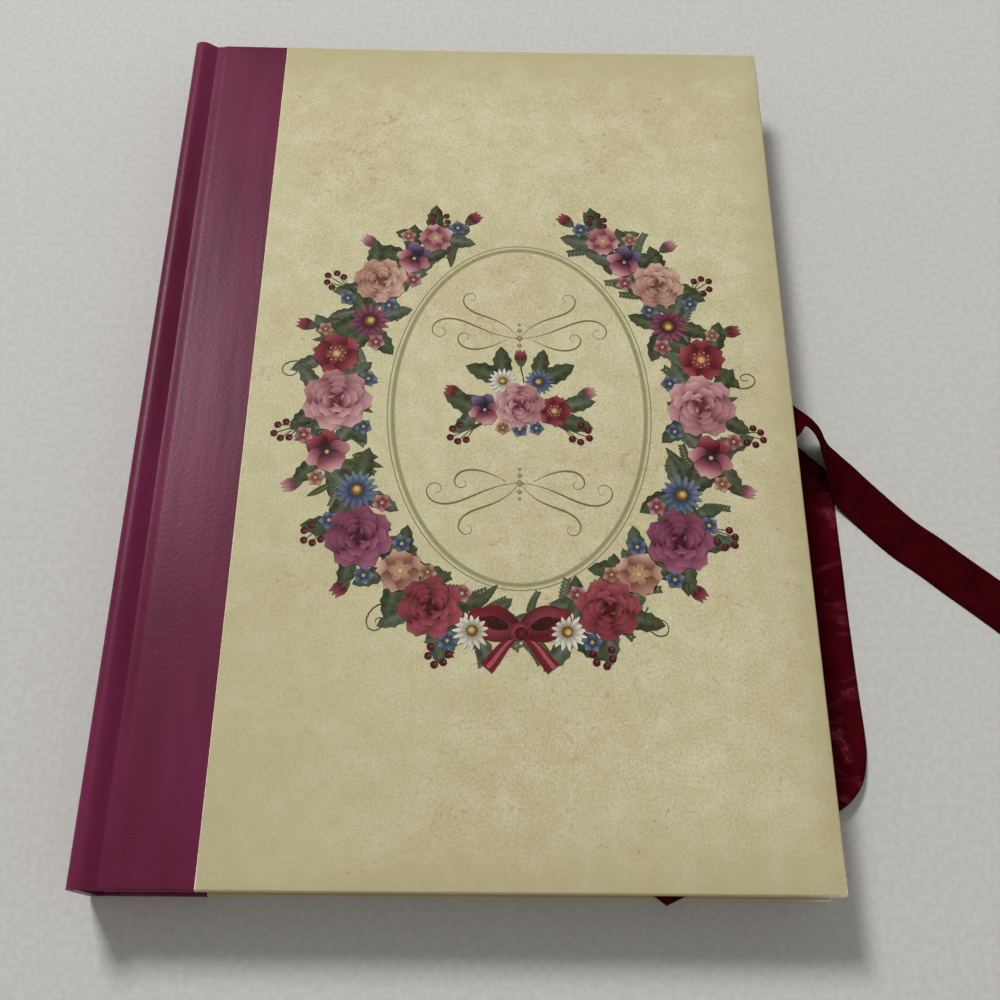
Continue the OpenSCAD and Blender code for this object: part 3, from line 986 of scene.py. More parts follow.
inkPlan = {
    "crimson": ("#200507", "#661520", "#9a4d55"),
    "rose": ("#471b25", "#874450", "#c79b9a"),
    "wine": ("#260715", "#5d1d38", "#97596e"),
    "peach": ("#512b22", "#8d5d4c", "#cba792"),
    "violet": ("#170f21", "#3c2d49", "#766782"),
    "blue": ("#1b2338", "#3d4a64", "#7d889b"),
    "white": ("#746b56", "#bdb5a1", "#ebe6d9"),
    "gold": ("#50390f", "#957331", "#d2ba7c"),
    "leaf": ("#0d120a", "#293420", "#5f6547"),
    "sage": ("#141b15", "#374235", "#6f755d"),
    "stem": ("#1d2011", "#393d24", "#676944"),
    "line": ("#6d694b", "#86815d", "#a6a17e"),
}
lightFrom = 2.2


def inksOf(colour):
    return [linear(c) for c in inkPlan[colour]]


def inkMix(a, b, share):
    share = min(1.0, max(0.0, share))
    return tuple(p + (q - p) * share for p, q in zip(a, b))


def newShape():
    return {"points": [], "faces": [], "inks": []}


def dab(shape, x, y, height, ink):
    shape["points"].append((x, y, height))
    shape["inks"].append(ink)


def broad(t):
    return math.sin(math.pi * (0.08 + 0.72 * t ** 0.9)) ** 0.8


def slim(t):
    return math.sin(math.pi * (0.06 + 0.84 * t)) ** 0.7


def pointed(t):
    return math.sin(math.pi * t ** 0.8) ** 0.85 if 0 < t < 1 else 0.0


def toothed(t):
    return pointed(t) * (1.0 if round(t * 9) % 2 else 0.8)


petalLanes = (-1, -0.5, 0, 0.5, 1)
leafLanes = (-1, -0.5, -0.06, 0.06, 0.5, 1)
fewLanes = (-1, 0, 1)


def blade(shape, root, angle, length, width, height, outline, paint, rows=5, lanes=petalLanes,
          notch=0.0, corner=0.0, sweep=0.0, bend=0.0):
    # one petal or leaf: t runs from root to tip, a from side to side
    first = len(shape["points"])
    c, s = math.cos(angle), math.sin(angle)
    for i in range(rows + 1):
        t = i / rows
        for a in lanes:
            back = notch * (1 - abs(a)) ** 2 + corner * a ** 4
            x = length * (t - t ** 3 * back + sweep * abs(a) * t * (1 - t))
            y = a * width / 2 * outline(t) + bend * length * t * t
            dab(shape, root[0] + c * x - s * y, root[1] + s * x + c * y, height, paint(t, a))
    wide = len(lanes)
    for i in range(rows):
        for j in range(wide - 1):
            k = first + i * wide + j
            shape["faces"].append((k, k + wide, k + wide + 1, k + 1))


def disc(shape, middle, radius, height, ink, rimInk, sides=8):
    first = len(shape["points"])
    dab(shape, *middle, height, ink)
    for i in range(sides):
        a = 2 * math.pi * i / sides
        dab(shape, middle[0] + radius * math.cos(a), middle[1] + radius * math.sin(a), height, rimInk)
        shape["faces"].append((first, first + 1 + i, first + 1 + (i + 1) % sides))


def stroke(shape, path, widths, height, ink):
    # flat line of changing width along a path
    path = np.asarray(path, float)
    ahead = np.gradient(path, axis=0)
    side = np.stack([-ahead[:, 1], ahead[:, 0]], axis=1)
    side /= np.linalg.norm(side, axis=1)[:, None]
    first = len(shape["points"])
    for point, normal, width in zip(path, side, widths):
        for edge in (-0.5, 0.5):
            dab(shape, *(point + normal * edge * width), height, ink)
    for i in range(len(path) - 1):
        k = first + 2 * i
        shape["faces"].append((k, k + 2, k + 3, k + 1))


def petalPaint(inks, angle, core=0.15, rim=1.0):
    deep, mid, pale = inks
    lit = 0.45 + 0.55 * (0.5 + 0.5 * math.cos(angle - lightFrom))

    def paint(t, a):
        ink = inkMix(deep, mid, (t - core) / 0.5)
        ink = inkMix(ink, pale, rim * lit * max(0.0, t - 0.45) / 0.55)
        return inkMix(ink, deep, 0.45 * abs(a) ** 5)
    return paint


def leafPaint(inks):
    deep, mid, pale = inks

    def paint(t, a):
        if abs(a) < 0.1:
            return inkMix(pale, mid, t * 0.8)
        vein = 0.14 * (round(t * 9) % 2)
        ink = inkMix(mid, deep, (0.55 if a < 0 else 0.12) + 0.25 * abs(a) ** 3 - vein)
        return inkMix(ink, pale, 0.2 * t + (0.1 if a > 0 else 0.0) + vein)
    return paint


# Motifs are drawn one unit across, with heights in metres

def petalLevel(i, count):
    # neighbours in a ring never share a height
    return artPlan["step"] * (2 if i == count - 1 and count % 2 else i % 2)


def petalRing(shape, count, reach, width, turn, height, inks, core=0.15, outline=broad, **form):
    for i in range(count):
        angle = turn + 2 * math.pi * i / count
        blade(shape, (0, 0), angle, reach, width, height + petalLevel(i, count), outline,
              petalPaint(inks, angle, core), **form)
    return height + 3 * artPlan["step"]


def peony(colour):
    inks = inksOf(colour)
    shape = newShape()
    height = 0.0
    rings = ((7, 0.52, 0.5, 0.45), (6, 0.42, 0.42, 0.35), (5, 0.31, 0.36, 0.3), (4, 0.21, 0.28, 0.2))
    for count, reach, width, core in rings:
        height = petalRing(shape, count, reach, width, 0.5 * count, height, inks, core,
                           notch=0.06, corner=0.22)
    disc(shape, (0, 0), 0.05, height, inks[0], inks[1])
    for i in range(3):
        angle = 0.7 + 2.1 * i
        root = (0.03 * math.cos(angle), 0.03 * math.sin(angle))
        blade(shape, root, angle + 1.2, 0.11, 0.07, height + artPlan["step"], slim,
              petalPaint(inks, lightFrom), rows=3, lanes=fewLanes, bend=0.5)
    return shape


def dogRose(colour):
    deep, mid, pale = inksOf(colour)
    gold = inksOf("gold")
    shape = newShape()
    outer = (inkMix(deep, mid, 0.3), mid, pale)
    height = petalRing(shape, 5, 0.5, 0.56, 0.3, 0.0, outer, notch=0.16, corner=0.3, rows=6)
    for i in range(5):
        angle = 0.3 + 2 * math.pi * i / 5
        blade(shape, (0, 0), angle, 0.26, 0.16, height + petalLevel(i, 5), slim,
              lambda t, a: inkMix(pale, mid, 0.25 + 0.75 * t), rows=3, lanes=fewLanes)
    height += 3 * artPlan["step"]
    for i in range(11):
        angle = 0.57 * i
        reach = 0.13 if i % 2 else 0.17
        disc(shape, (reach * math.cos(angle), reach * math.sin(angle)), 0.024, height, gold[2], gold[0], 5)
    disc(shape, (0, 0), 0.085, height + artPlan["step"], gold[2], gold[1])
    return shape


def aster(colour):
    inks, gold = inksOf(colour), inksOf("gold")
    shape = newShape()
    height = 0.0
    for count, reach, turn in ((16, 0.5, 0.0), (13, 0.4, 0.2)):
        height = petalRing(shape, count, reach, 0.135, turn, height, inks, 0.25, slim,
                           rows=4, lanes=fewLanes, corner=0.1)
    disc(shape, (0, 0), 0.145, height, gold[1], gold[0], 12)
    disc(shape, (-0.02, 0.02), 0.09, height + artPlan["step"], gold[2], gold[1], 10)
    return shape


def pansy(upper, lower):
    top, low, gold = inksOf(upper), inksOf(lower), inksOf("gold")
    eye = inksOf("violet")[0]
    shape = newShape()
    step = artPlan["step"]

    def faced(inks, angle):
        plain = petalPaint((inks[1], inks[1], inks[2]), angle)

        def paint(t, a):
            streak = 1.0 if abs(a) < 0.3 else 0.55
            return inkMix(plain(t, a), eye, streak * (1 - (t - 0.18) / 0.34) if t > 0.18 else 0.9)
        return paint

    for i, angle in enumerate((1.05, 2.1)):
        blade(shape, (0, 0.04), angle, 0.48, 0.5, step * i, broad, petalPaint(top, angle), corner=0.3)
    for i, angle in enumerate((-0.15, 3.29)):
        blade(shape, (0, 0), angle, 0.47, 0.42, step * (2 + i), broad, faced(low, angle), corner=0.28, rows=6)
    blade(shape, (0, 0.03), -math.pi / 2, 0.53, 0.6, step * 4, broad, faced(low, 2.0),
          corner=0.26, notch=0.12, rows=7)
    disc(shape, (0, 0), 0.05, step * 5, gold[2], gold[1], 7)
    return shape


def fivePetals(colour):
    gold = inksOf("gold")
    shape = newShape()
    height = petalRing(shape, 5, 0.5, 0.5, 0.3, 0.0, inksOf(colour), 0.0, rows=3, lanes=fewLanes, corner=0.3)
    disc(shape, (0, 0), 0.13, height, gold[2], gold[0], 6)
    return shape


def bud(colour):
    inks, green = inksOf(colour), inksOf("leaf")
    shape = newShape()
    step = artPlan["step"]
    stalk = [(-0.5, -0.06), (-0.3, -0.04), (-0.1, 0.0), (0.05, 0.0)]
    stroke(shape, stalk, (0.03, 0.03, 0.035, 0.04), 0.0, green[1])
    for i, (angle, width) in enumerate(((0.22, 0.22), (-0.22, 0.22), (0.0, 0.2))):
        blade(shape, (0.0, 0.0), angle, 0.5, width, step * (1 + i), slim,
              petalPaint(inks, lightFrom + 0.9 - angle * 3), rows=4, lanes=fewLanes, corner=0.2)
    for i, angle in enumerate((0.5, -0.5, 0.05)):
        blade(shape, (-0.02, 0.0), angle, 0.26, 0.09, step * (4 + i), pointed, leafPaint(green),
              rows=4, lanes=fewLanes)
    return shape


def berries(colour):
    deep, mid, pale = inksOf(colour)
    green = inksOf("stem")[1]
    shape = newShape()
    step = artPlan["step"]
    for i, (x, y) in enumerate(((0.45, 0.02), (0.33, 0.2), (0.3, -0.18), (0.12, 0.25), (0.08, -0.2))):
        stroke(shape, [(-0.5, 0.0), (x * 0.4 - 0.2, y * 0.25), (x, y)], (0.03, 0.022, 0.015), 0.0, green)
        disc(shape, (x, y), 0.095, step * (1 + i % 2), mid, deep, 8)
        disc(shape, (x - 0.025, y + 0.03), 0.035, step * 3, pale, mid, 5)
    return shape


def leafShape(colour, outline, width, sweep, bend):
    shape = newShape()
    blade(shape, (-0.5, 0.0), 0.0, 1.0, width, 0.0, outline, leafPaint(inksOf(colour)),
          rows=9, lanes=leafLanes, sweep=sweep, bend=bend)
    return shape


def sprig(colour):
    inks = inksOf(colour)
    shape = newShape()
    stem = [(-0.5 + 0.1 * i, 0.05 * math.sin(0.34 * i)) for i in range(10)]
    stroke(shape, stem, np.linspace(0.03, 0.012, 10), 0.0, inks[1])
    for i, root in enumerate(stem[1:], 1):
        for side in (1, -1):
            blade(shape, root, side * 0.8, 0.26 - 0.012 * i, 0.1, artPlan["step"] * (1 + i % 2), pointed,
                  leafPaint(inks), rows=3, lanes=fewLanes)
    return shape


def tendril(colour):
    shape = newShape()
    turns = np.linspace(0, 9, 26)
    curl = [0.62 * math.exp(-0.24 * a) for a in turns]
    path = [(0.25 - r * math.cos(a), -r * 0.8 * math.sin(a)) for r, a in zip(curl, turns)]
    stroke(shape, path, np.linspace(0.035, 0.015, len(path)), 0.0, inksOf(colour)[1])
    return shape


flowerKinds = {
    "peonyCrimson": peony("crimson"),
    "peonyRose": peony("rose"),
    "peonyWine": peony("wine"),
    "peonyPeach": peony("peach"),
    "dogRose": dogRose("rose"),
    "dogRoseCrimson": dogRose("crimson"),
    "dogRosePeach": dogRose("peach"),
    "asterPale": aster("white"),
    "asterWine": aster("wine"),
    "asterBlue": aster("blue"),
    "pansyViolet": pansy("violet", "rose"),
    "pansyCrimson": pansy("crimson", "rose"),
    "smallBlue": fivePetals("blue"),
    "smallRose": fivePetals("rose"),
    "smallPeach": fivePetals("peach"),
    "bud": bud("crimson"),
    "budRose": bud("rose"),
    "berries": berries("crimson"),
    "leaf": leafShape("leaf", toothed, 0.5, 0.3, 0.05),
    "leafSage": leafShape("sage", toothed, 0.46, 0.3, -0.05),
    "tendril": tendril("stem"),
}
greenKinds = {
    "small": leafShape("leaf", pointed, 0.42, 0.25, 0.06),
    "slender": leafShape("stem", pointed, 0.26, 0.2, -0.1),
    "sage": leafShape("sage", toothed, 0.44, 0.3, 0.05),
    "sprig": sprig("leaf"),
    "sprigSage": sprig("sage"),
}


def inkMesh(name, shape):
    mesh = bpy.data.meshes.new(name)
    mesh.from_pydata(shape["points"], [], shape["faces"])
    colours = np.array([(*ink, 1.0) for ink in shape["inks"]], np.float32)
    mesh.attributes.new("ink", "FLOAT_COLOR", "POINT").data.foreach_set("color", colours.ravel())
    return mesh


def motifCollection(name, kinds):
    # children are picked in order of their names, so the names are numbered
    group = bpy.data.collections.new(name)
    for i, shape in enumerate(kinds.values()):
        group.objects.link(bpy.data.objects.new(f"{name}{i:02d}", inkMesh(f"{name}{i:02d}", shape)))
    return group


def newTree(name, sockets):
    tree = bpy.data.node_groups.new(name, "GeometryNodeTree")
    for label, kind in sockets:
        tree.interface.new_socket(label, in_out="INPUT", socket_type="NodeSocket" + kind)
    tree.interface.new_socket("Mesh", in_out="OUTPUT", socket_type="NodeSocketGeometry")
    return tree, put(tree, "NodeGroupInput").outputs


def closeTree(tree, instances, material):
    real = put(tree, "GeometryNodeRealizeInstances", {"Geometry": instances}).outputs["Geometry"]
    dressed = put(tree, "GeometryNodeSetMaterial", {"Geometry": real, "Material": material})
    put(tree, "NodeGroupOutput", {"Mesh": dressed.outputs["Geometry"]})


def chance(tree, low, high, seed, whole=False):
    node = put(tree, "FunctionNodeRandomValue", {"Seed": seed}, data_type="INT" if whole else "FLOAT")
    first = 4 if whole else 2
    feed(tree, node.inputs[first], low)
    feed(tree, node.inputs[first + 1], high)
    return node.outputs[2 if whole else 1]


def named(tree, name, kind="FLOAT"):
    return put(tree, "GeometryNodeInputNamedAttribute", {"Name": name}, data_type=kind).outputs["Attribute"]


def xyz(tree, x=0.0, y=0.0, z=0.0):
    return put(tree, "ShaderNodeCombineXYZ", {"X": x, "Y": y, "Z": z}).outputs[0]


def setMotifs(tree, points, motifs, pick, turn, size):
    parts = put(tree, "GeometryNodeCollectionInfo", {
        "Collection": motifs, "Separate Children": True, "Reset Children": True}).outputs["Instances"]
    spin = put(tree, "FunctionNodeEulerToRotation", {"Euler": xyz(tree, z=turn)}).outputs[0]
    return put(tree, "GeometryNodeInstanceOnPoints", {
        "Points": points, "Instance": parts, "Pick Instance": True, "Instance Index": pick,
        "Rotation": spin, "Scale": xyz(tree, size, size, 1.0)}).outputs["Instances"]


def greensTree():
    # leaves along a path, leaning outwards on either side of it
    tree, inputs = newTree("sprayGreens", (
        ("Path", "Geometry"), ("Motifs", "Collection"), ("Kinds", "Int"), ("Count", "Int"),
        ("Spread", "Float"), ("Lean", "Float"), ("Smallest", "Float"), ("Largest", "Float"),
        ("Lift", "Float"), ("Seed", "Int"), ("Print", "Material")))
    curve = put(tree, "GeometryNodeMeshToCurve", {"Mesh": inputs["Path"]}).outputs["Curve"]
    spaced = {"Curve": curve, "Count": inputs["Count"]}
    points = put(tree, "GeometryNodeCurveToPoints", spaced, mode="COUNT").outputs
    along = put(tree, "ShaderNodeSeparateXYZ", {"Vector": points["Tangent"]}).outputs
    heading = sums(tree, "ARCTAN2", along["Y"], along["X"])
    side = chance(tree, -1.0, 1.0, inputs["Seed"])
    index = put(tree, "GeometryNodeInputIndex").outputs["Index"]
    aside = times(tree, side, inputs["Spread"])
    shift = xyz(tree, times(tree, times(tree, along["Y"], aside), -1.0), times(tree, along["X"], aside),
                   times(tree, index, inputs["Lift"]))
    turn = sums(tree, "ADD", heading, times(tree, side, inputs["Lean"]))
    turned = {"Geometry": points["Points"], "Name": "turn", "Value": turn}
    kept = put(tree, "GeometryNodeStoreNamedAttribute", turned, data_type="FLOAT", domain="POINT")
    moved = put(tree, "GeometryNodeSetPosition", {"Geometry": kept.outputs["Geometry"], "Offset": shift})
    last = sums(tree, "SUBTRACT", inputs["Kinds"], 1)
    pick = chance(tree, 0, last, sums(tree, "ADD", inputs["Seed"], 1), whole=True)
    size = chance(tree, inputs["Smallest"], inputs["Largest"], sums(tree, "ADD", inputs["Seed"], 2))
    greens = setMotifs(tree, moved.outputs["Geometry"], inputs["Motifs"], pick, named(tree, "turn"), size)
    closeTree(tree, greens, inputs["Print"])
    return tree


def posyTree():
    # one motif on each point, as the point's own kind, turn and size say
    tree, inputs = newTree("posies", (
        ("Anchors", "Geometry"), ("Motifs", "Collection"), ("Print", "Material")))
    points = put(tree, "GeometryNodeMeshToPoints", {"Mesh": inputs["Anchors"]}).outputs["Points"]
    posies = setMotifs(tree, points, inputs["Motifs"], named(tree, "kind", "INT"), named(tree, "turn"),
                       named(tree, "size"))
    closeTree(tree, posies, inputs["Print"])
    return tree


def grow(name, mesh, tree, values):
    piece = addObject(name, mesh)
    maker = piece.modifiers.new(tree.name, "NODES")
    maker.node_group = tree
    for item in tree.interface.items_tree:
        if item.name in values:
            maker[item.identifier] = values[item.name]
    return bake(piece)


def printInk():
    material, tree, shader = newMaterial("printInk")
    place = objectPlace(tree)
    grain = cloud(tree, place, 2600.0, 2.0, 0.6)
    rub = cloud(tree, place, 520.0, 3.0, 0.6)
    ink = attribute(tree, "ink", "Color")
    colour = tint(tree, between(tree, grain, 0.5, 0.8, 0.0, 0.08), ink, "#cdc8a6")
    colour = tint(tree, between(tree, rub, 0.3, 0.45, 0.16, 0.0), colour, "#2a2418")
    rough = between(tree, rub, 0.2, 0.8, 0.5, 0.62)
    coat(tree, shader, colour, rough, relief(tree, rub, 0.06, 0.0002), 0.12)
    return material


# One spray: kind, place round the oval in degrees, shift outwards, size, and level or heading

sprayFlowers = [
    ("dogRose", 61, 0.5, 13, 2), ("pansyViolet", 51, -1.5, 13.5, 1),
    ("peonyPeach", 39, 1.5, 18.5, 3), ("asterWine", 26, -3.5, 14, 1), ("dogRoseCrimson", 14, 3, 17.5, 2),
    ("peonyRose", 1, 0, 23, 3), ("pansyCrimson", -13, 3.5, 16, 1), ("asterBlue", -25, -3, 14, 2),
    ("peonyWine", -37, 2.5, 21.5, 3), ("dogRosePeach", -51, -1.5, 16, 1), ("peonyCrimson", -64, 1.5, 20, 3),
    ("asterPale", -77, 3, 12.5, 2),
    ("smallBlue", 69, 0.5, 6.5, 3), ("smallPeach", 55, 7, 6, 3),
    ("smallRose", 45, -7.5, 6.5, 2), ("smallBlue", 33, -6.5, 6.5, 2), ("smallBlue", 30, 7.5, 6, 2),
    ("smallPeach", 20, 9.5, 5.5, 1), ("smallRose", 20, -8.5, 6.5, 3), ("smallBlue", 8, -9.5, 6.5, 1),
    ("smallBlue", -7, -9, 6, 2), ("smallRose", -8, 10.5, 6.5, 2), ("smallPeach", -19, 8.5, 6, 3),
    ("smallBlue", -30, 8.5, 6.5, 1), ("smallRose", -31, -9, 6.5, 1), ("smallBlue", -45, -7.5, 6.5, 2),
    ("smallBlue", -46, 8, 6.5, 2), ("smallPeach", -57, -7, 6, 2), ("smallRose", -70, -7, 6.5, 1),
    ("smallBlue", -72, 8.5, 6.5, 1),
]
sprayEdges = [
    ("bud", 72, 1, 14, 245), ("berries", 65, 4.5, 12, 120), ("budRose", 47, 11.5, 14, 30),
    ("berries", 33, 12.5, 13, 50), ("bud", 20, 13, 14, 10), ("tendril", 8, 13.5, 11, -10),
    ("berries", -6, 14.5, 13, -40), ("budRose", -19, 13, 14, -30), ("berries", -31, 12.5, 13, -60),
    ("bud", -45, 12.5, 14, -50), ("tendril", -56, 12, 11, -70), ("berries", -71, 11, 13, -80),
]
# the little posy in the middle of the oval: kind, place, size, level and turn
posyFlowers = [
    ("peonyRose", 0, 0.5, 17, 3, 1.1), ("pansyViolet", -11.5, -1.5, 12, 2, 0.2),
    ("dogRoseCrimson", 11.5, -1.5, 12.5, 2, 0.9), ("asterPale", -5.5, 9.5, 10, 1, 0.3),
    ("asterBlue", 6.5, 9.5, 10, 2, 0.8), ("smallBlue", 0, -8.5, 6, 2, 0.2),
    ("smallPeach", -5.5, -8, 5.5, 1, 0.6), ("smallBlue", 5.5, -8, 5.5, 1, 0.9),
]
posyEdges = [
    ("bud", -19, 4.5, 13, 2.85), ("budRose", 19.5, 4.5, 13, 0.3), ("bud", 0.5, 15.5, 13, 1.6),
    ("berries", -17.5, -9, 13, 3.6), ("berries", 17.5, -9, 13, -0.45),
]


def onOval(axes, degrees, shift):
    a = math.radians(degrees)
    x, y = axes[0] * math.cos(a), axes[1] * math.sin(a)
    nx, ny = math.cos(a) / axes[0], math.sin(a) / axes[1]
    size = math.hypot(nx, ny)
    return x + shift * mm * nx / size, y + shift * mm * ny / size, math.atan2(ny, nx)


def printAnchors(plan):
    rows = []
    chooser = random.Random(plan["seed"])
    budTop = plan["leavesTop"] + plan["budLevel"] * plan["level"]

    def add(kind, x, y, z, turn, size):
        rows.append((list(flowerKinds).index(kind), x, y, z, turn, size * mm))

    def addFlower(kind, x, y, level, size, turn, leaves):
        add(kind, x, y, plan["leavesTop"] + level * plan["level"], turn, size)
        for angle in leaves:
            reach = plan["leafReach"][0] * size * mm + plan["leafReach"][1]
            lift = plan["greensTop"] + plan["leafLift"] * len(rows)
            leaf = "leaf" if chooser.random() < plan["greenShare"] else "leafSage"
            leafTurn = angle + chooser.uniform(-plan["leafSway"], plan["leafSway"])
            add(leaf, x + reach * math.cos(angle), y + reach * math.sin(angle), lift, leafTurn,
                chooser.uniform(*plan["leafSizes"]))

    for side in (1, -1):
        for kind, degrees, shift, size, level in sprayFlowers:
            x, y, out = onOval(plan["spray"], degrees, shift)
            around = (-2.3, -0.75, 0.75, 2.3) if size > 10 else ()
            leaves = [out + d + chooser.uniform(-0.25, 0.25) for d in around]
            leaves = [a if side > 0 else math.pi - a for a in leaves]
            turn = chooser.uniform(-0.5, 0.5) if kind.startswith("pansy") else chooser.uniform(0, 6.28)
            addFlower(kind, side * x, y, level, size, turn, leaves)
        for kind, degrees, shift, size, heading in sprayEdges:
            x, y, out = onOval(plan["spray"], degrees, shift)
            turn = math.radians(heading) * 0.4 + out * 0.6
            add(kind, side * x, y, budTop, turn if side > 0 else math.pi - turn, size)
    for kind, x, y, size, level, turn in posyFlowers:
        around = (-0.5, 0.5) if size > 9 and kind != "peonyRose" else ()
        addFlower(kind, x * mm, y * mm, level, size, turn, [math.atan2(y, x) + d for d in around])
    for kind, x, y, size, turn in posyEdges:
        add(kind, x * mm, y * mm, budTop, turn, size)
    return rows


def ovalLine(shape, axes, width, height, inks):
    # closed line, a shade paler towards its edges
    count = 144
    first = len(shape["points"])
    for i in range(count):
        a = 2 * math.pi * i / count
        for edge, ink in ((-0.5, inks[0]), (0.0, inks[1]), (0.5, inks[0])):
            dab(shape, *onOval(axes, math.degrees(a), edge * width / mm)[:2], height, ink)
    for i in range(count):
        k, m = first + 3 * i, first + 3 * ((i + 1) % count)
        shape["faces"] += [(k, k + 1, m + 1, m), (k + 1, k + 2, m + 2, m + 1)]


def scroll(start, heading, length, bends, steps):
    # path that curls up towards its end
    x, y = start
    path = [(x, y)]
    for i in range(steps):
        t = i / steps
        heading += (bends[0] + (bends[1] - bends[0]) * t ** 3) / steps
        x, y = x + length / steps * math.cos(heading), y + length / steps * math.sin(heading)
        path.append((x, y))
    return path


linePlan = {
    "fineLine": (0.0002, 0.0004),       # set in from the oval, and width
    "broadLine": (0.0019, 0.0016),
    # start, heading, length, and bend at the start and the end, in millimetres and radians
    "scrolls": (((0.6, 27), 0.1, 43, (1.3, -30)), ((0.9, 28.2), 1.0, 33, (-2.0, 27)),
                ((4.5, 26.6), -0.6, 27, (0.9, 24))),
    "scrollSteps": 40,
    "thinnest": 0.00018,
    "swelling": 0.0005,
    "dots": ((27.2, 0.0013), (30.2, 0.0009), (32.6, 0.0006), (24.4, 0.0009), (22.2, 0.0006)),
    "dotLayer": 40,
    "drop": 0.8,                        # the scrolls sit a little low in the oval
}


def lineWork(plan):
    shape = newShape()
    deep, mid, pale = inksOf("line")
    for (setIn, width), inks in ((plan["fineLine"], (mid, mid)), (plan["broadLine"], (pale, mid))):
        ovalLine(shape, [half - setIn for half in artPlan["oval"]], width, 0.0, inks)
    steps = plan["scrollSteps"]
    swells = [plan["thinnest"] + plan["swelling"] * math.sin(math.pi * i / steps) ** 2
              for i in range(steps + 1)]
    height = 0
    for up in (1, -1):
        for side in (1, -1):
            for row in plan["scrolls"]:
                path = [(side * x * mm, (up * y - plan["drop"]) * mm) for x, y in scroll(*row, steps)]
                height += 1
                stroke(shape, path, swells, height * artPlan["step"], deep)
        for y, radius in plan["dots"]:
            middle = (0.0, (up * y - plan["drop"]) * mm)
            disc(shape, middle, radius, plan["dotLayer"] * artPlan["step"], pale, deep, 4)
    return shape


bowPlan = {
    "lean": 0.32,
    "loop": (0.0165, 0.0115),           # length and width
    "loopInside": (0.0095, 0.0042),
    "loopInsideAt": (0.0035, 0.0012),
    "tailSteps": 14,
    "tailWidths": (0.0022, 0.0046),
    "sheenWidths": (0.0006, 0.0014),
    "sheenAt": (0.0004, 0.0003),
    "knot": 0.0031,
    "knotShade": 0.0021,
    "knotShadeAt": (0.0005, -0.0006),
}


def bow(shape, plan, middle, height, inks):
    # loops, tails and knot of a tied ribbon
    deep, mid, pale = inks
    step = artPlan["step"]
    steps = plan["tailSteps"]

    def silk(t, a):
        ink = inkMix(deep, mid, 0.25 + 1.2 * t)
        return inkMix(ink, pale, 0.75 * math.exp(-((a - 0.25) / 0.3) ** 2) * math.sin(math.pi * t))

    def beside(point, away, side=1):
        return point[0] + side * away[0], point[1] + away[1]

    for side in (1, -1):
        lean = plan["lean"] if side > 0 else math.pi - plan["lean"]
        tail = [(middle[0] + side * (0.6 + 0.72 * i + 0.6 * math.sin(0.5 * i)) * mm,
                 middle[1] - (0.85 * i + 0.7 * math.sin(0.55 * i)) * mm) for i in range(steps)]
        sheen = [beside(point, plan["sheenAt"]) for point in tail]
        stroke(shape, tail, np.linspace(*plan["tailWidths"], steps), height, mid)
        stroke(shape, sheen, np.linspace(*plan["sheenWidths"], steps), height + step, pale)
        blade(shape, middle, lean, *plan["loop"], height + 2 * step, broad, silk, rows=8, corner=0.22)
        blade(shape, beside(middle, plan["loopInsideAt"], side), lean, *plan["loopInside"], height + 3 * step,
              slim, lambda t, a: inkMix(deep, mid, 0.35 * t), rows=5, corner=0.2)
    disc(shape, middle, plan["knot"], height + 4 * step, pale, mid, 12)
    disc(shape, beside(middle, plan["knotShadeAt"]), plan["knotShade"], height + 5 * step, mid, deep, 10)


def anchorMesh(rows):
    mesh = bpy.data.meshes.new("anchors")
    mesh.from_pydata([row[1:4] for row in rows], [], [])
    for name, kind, values in (("kind", "INT", [r[0] for r in rows]), ("turn", "FLOAT", [r[4] for r in rows]),
                               ("size", "FLOAT", [r[5] for r in rows])):
        mesh.attributes.new(name, kind, "POINT").data.foreach_set("value", values)
    return mesh


def sprayPath(axes, head, count=200):
    # round the oval from head to head, open at the top
    mesh = bpy.data.meshes.new("sprayPath")
    points = [(*onOval(axes, a, 0)[:2], 0.0) for a in np.linspace(180 - head, 360 + head, count)]
    mesh.from_pydata(points, [(i, i + 1) for i in range(count - 1)], [])
    return mesh


def layOnCover(piece):
    # from the print's own plane onto the warped face of the cover
    for vertex in piece.data.vertices:
        vertex.co.x += artPlan["middle"][0]
        vertex.co.y += artPlan["middle"][1]
        vertex.co.z += coverTop + coverPlan["lap"] + artPlan["film"] + frontWarp(vertex.co.x, vertex.co.y)
    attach(piece, "front_cover")


ink = printInk()
flowerGroup = motifCollection("flower", flowerKinds)
greenGroup = motifCollection("green", greenKinds)
lines = lineWork(linePlan)
bow(lines, bowPlan, (0.0, -artPlan["spray"][1] - artPlan["bowDrop"]),
    artPlan["leavesTop"] + 2 * artPlan["level"], inksOf("crimson"))
ovalPrint = addObject("ovalPrint", inkMesh("ovalPrint", lines))
ovalPrint.data.materials.append(ink)
greensPrint = grow("greensPrint", sprayPath(artPlan["spray"], artPlan["sprayHead"]), greensTree(), {
    "Motifs": greenGroup, "Kinds": len(greenKinds), "Count": artPlan["greenCount"],
    "Spread": artPlan["greenSpread"], "Lean": artPlan["greenLean"], "Smallest": artPlan["greenSizes"][0],
    "Largest": artPlan["greenSizes"][1], "Lift": artPlan["greenLift"], "Seed": artPlan["seed"], "Print": ink})
posyPrint = grow("posyPrint", anchorMesh(printAnchors(artPlan)), posyTree(), {
    "Motifs": flowerGroup, "Print": ink})
for piece in (ovalPrint, greensPrint, posyPrint):
    layOnCover(piece)
for group in (flowerGroup, greenGroup):
    for motif in list(group.objects):
        bpy.data.objects.remove(motif)
print("sprays printed", len(greensPrint.data.polygons), len(posyPrint.data.polygons))


# Floor and light

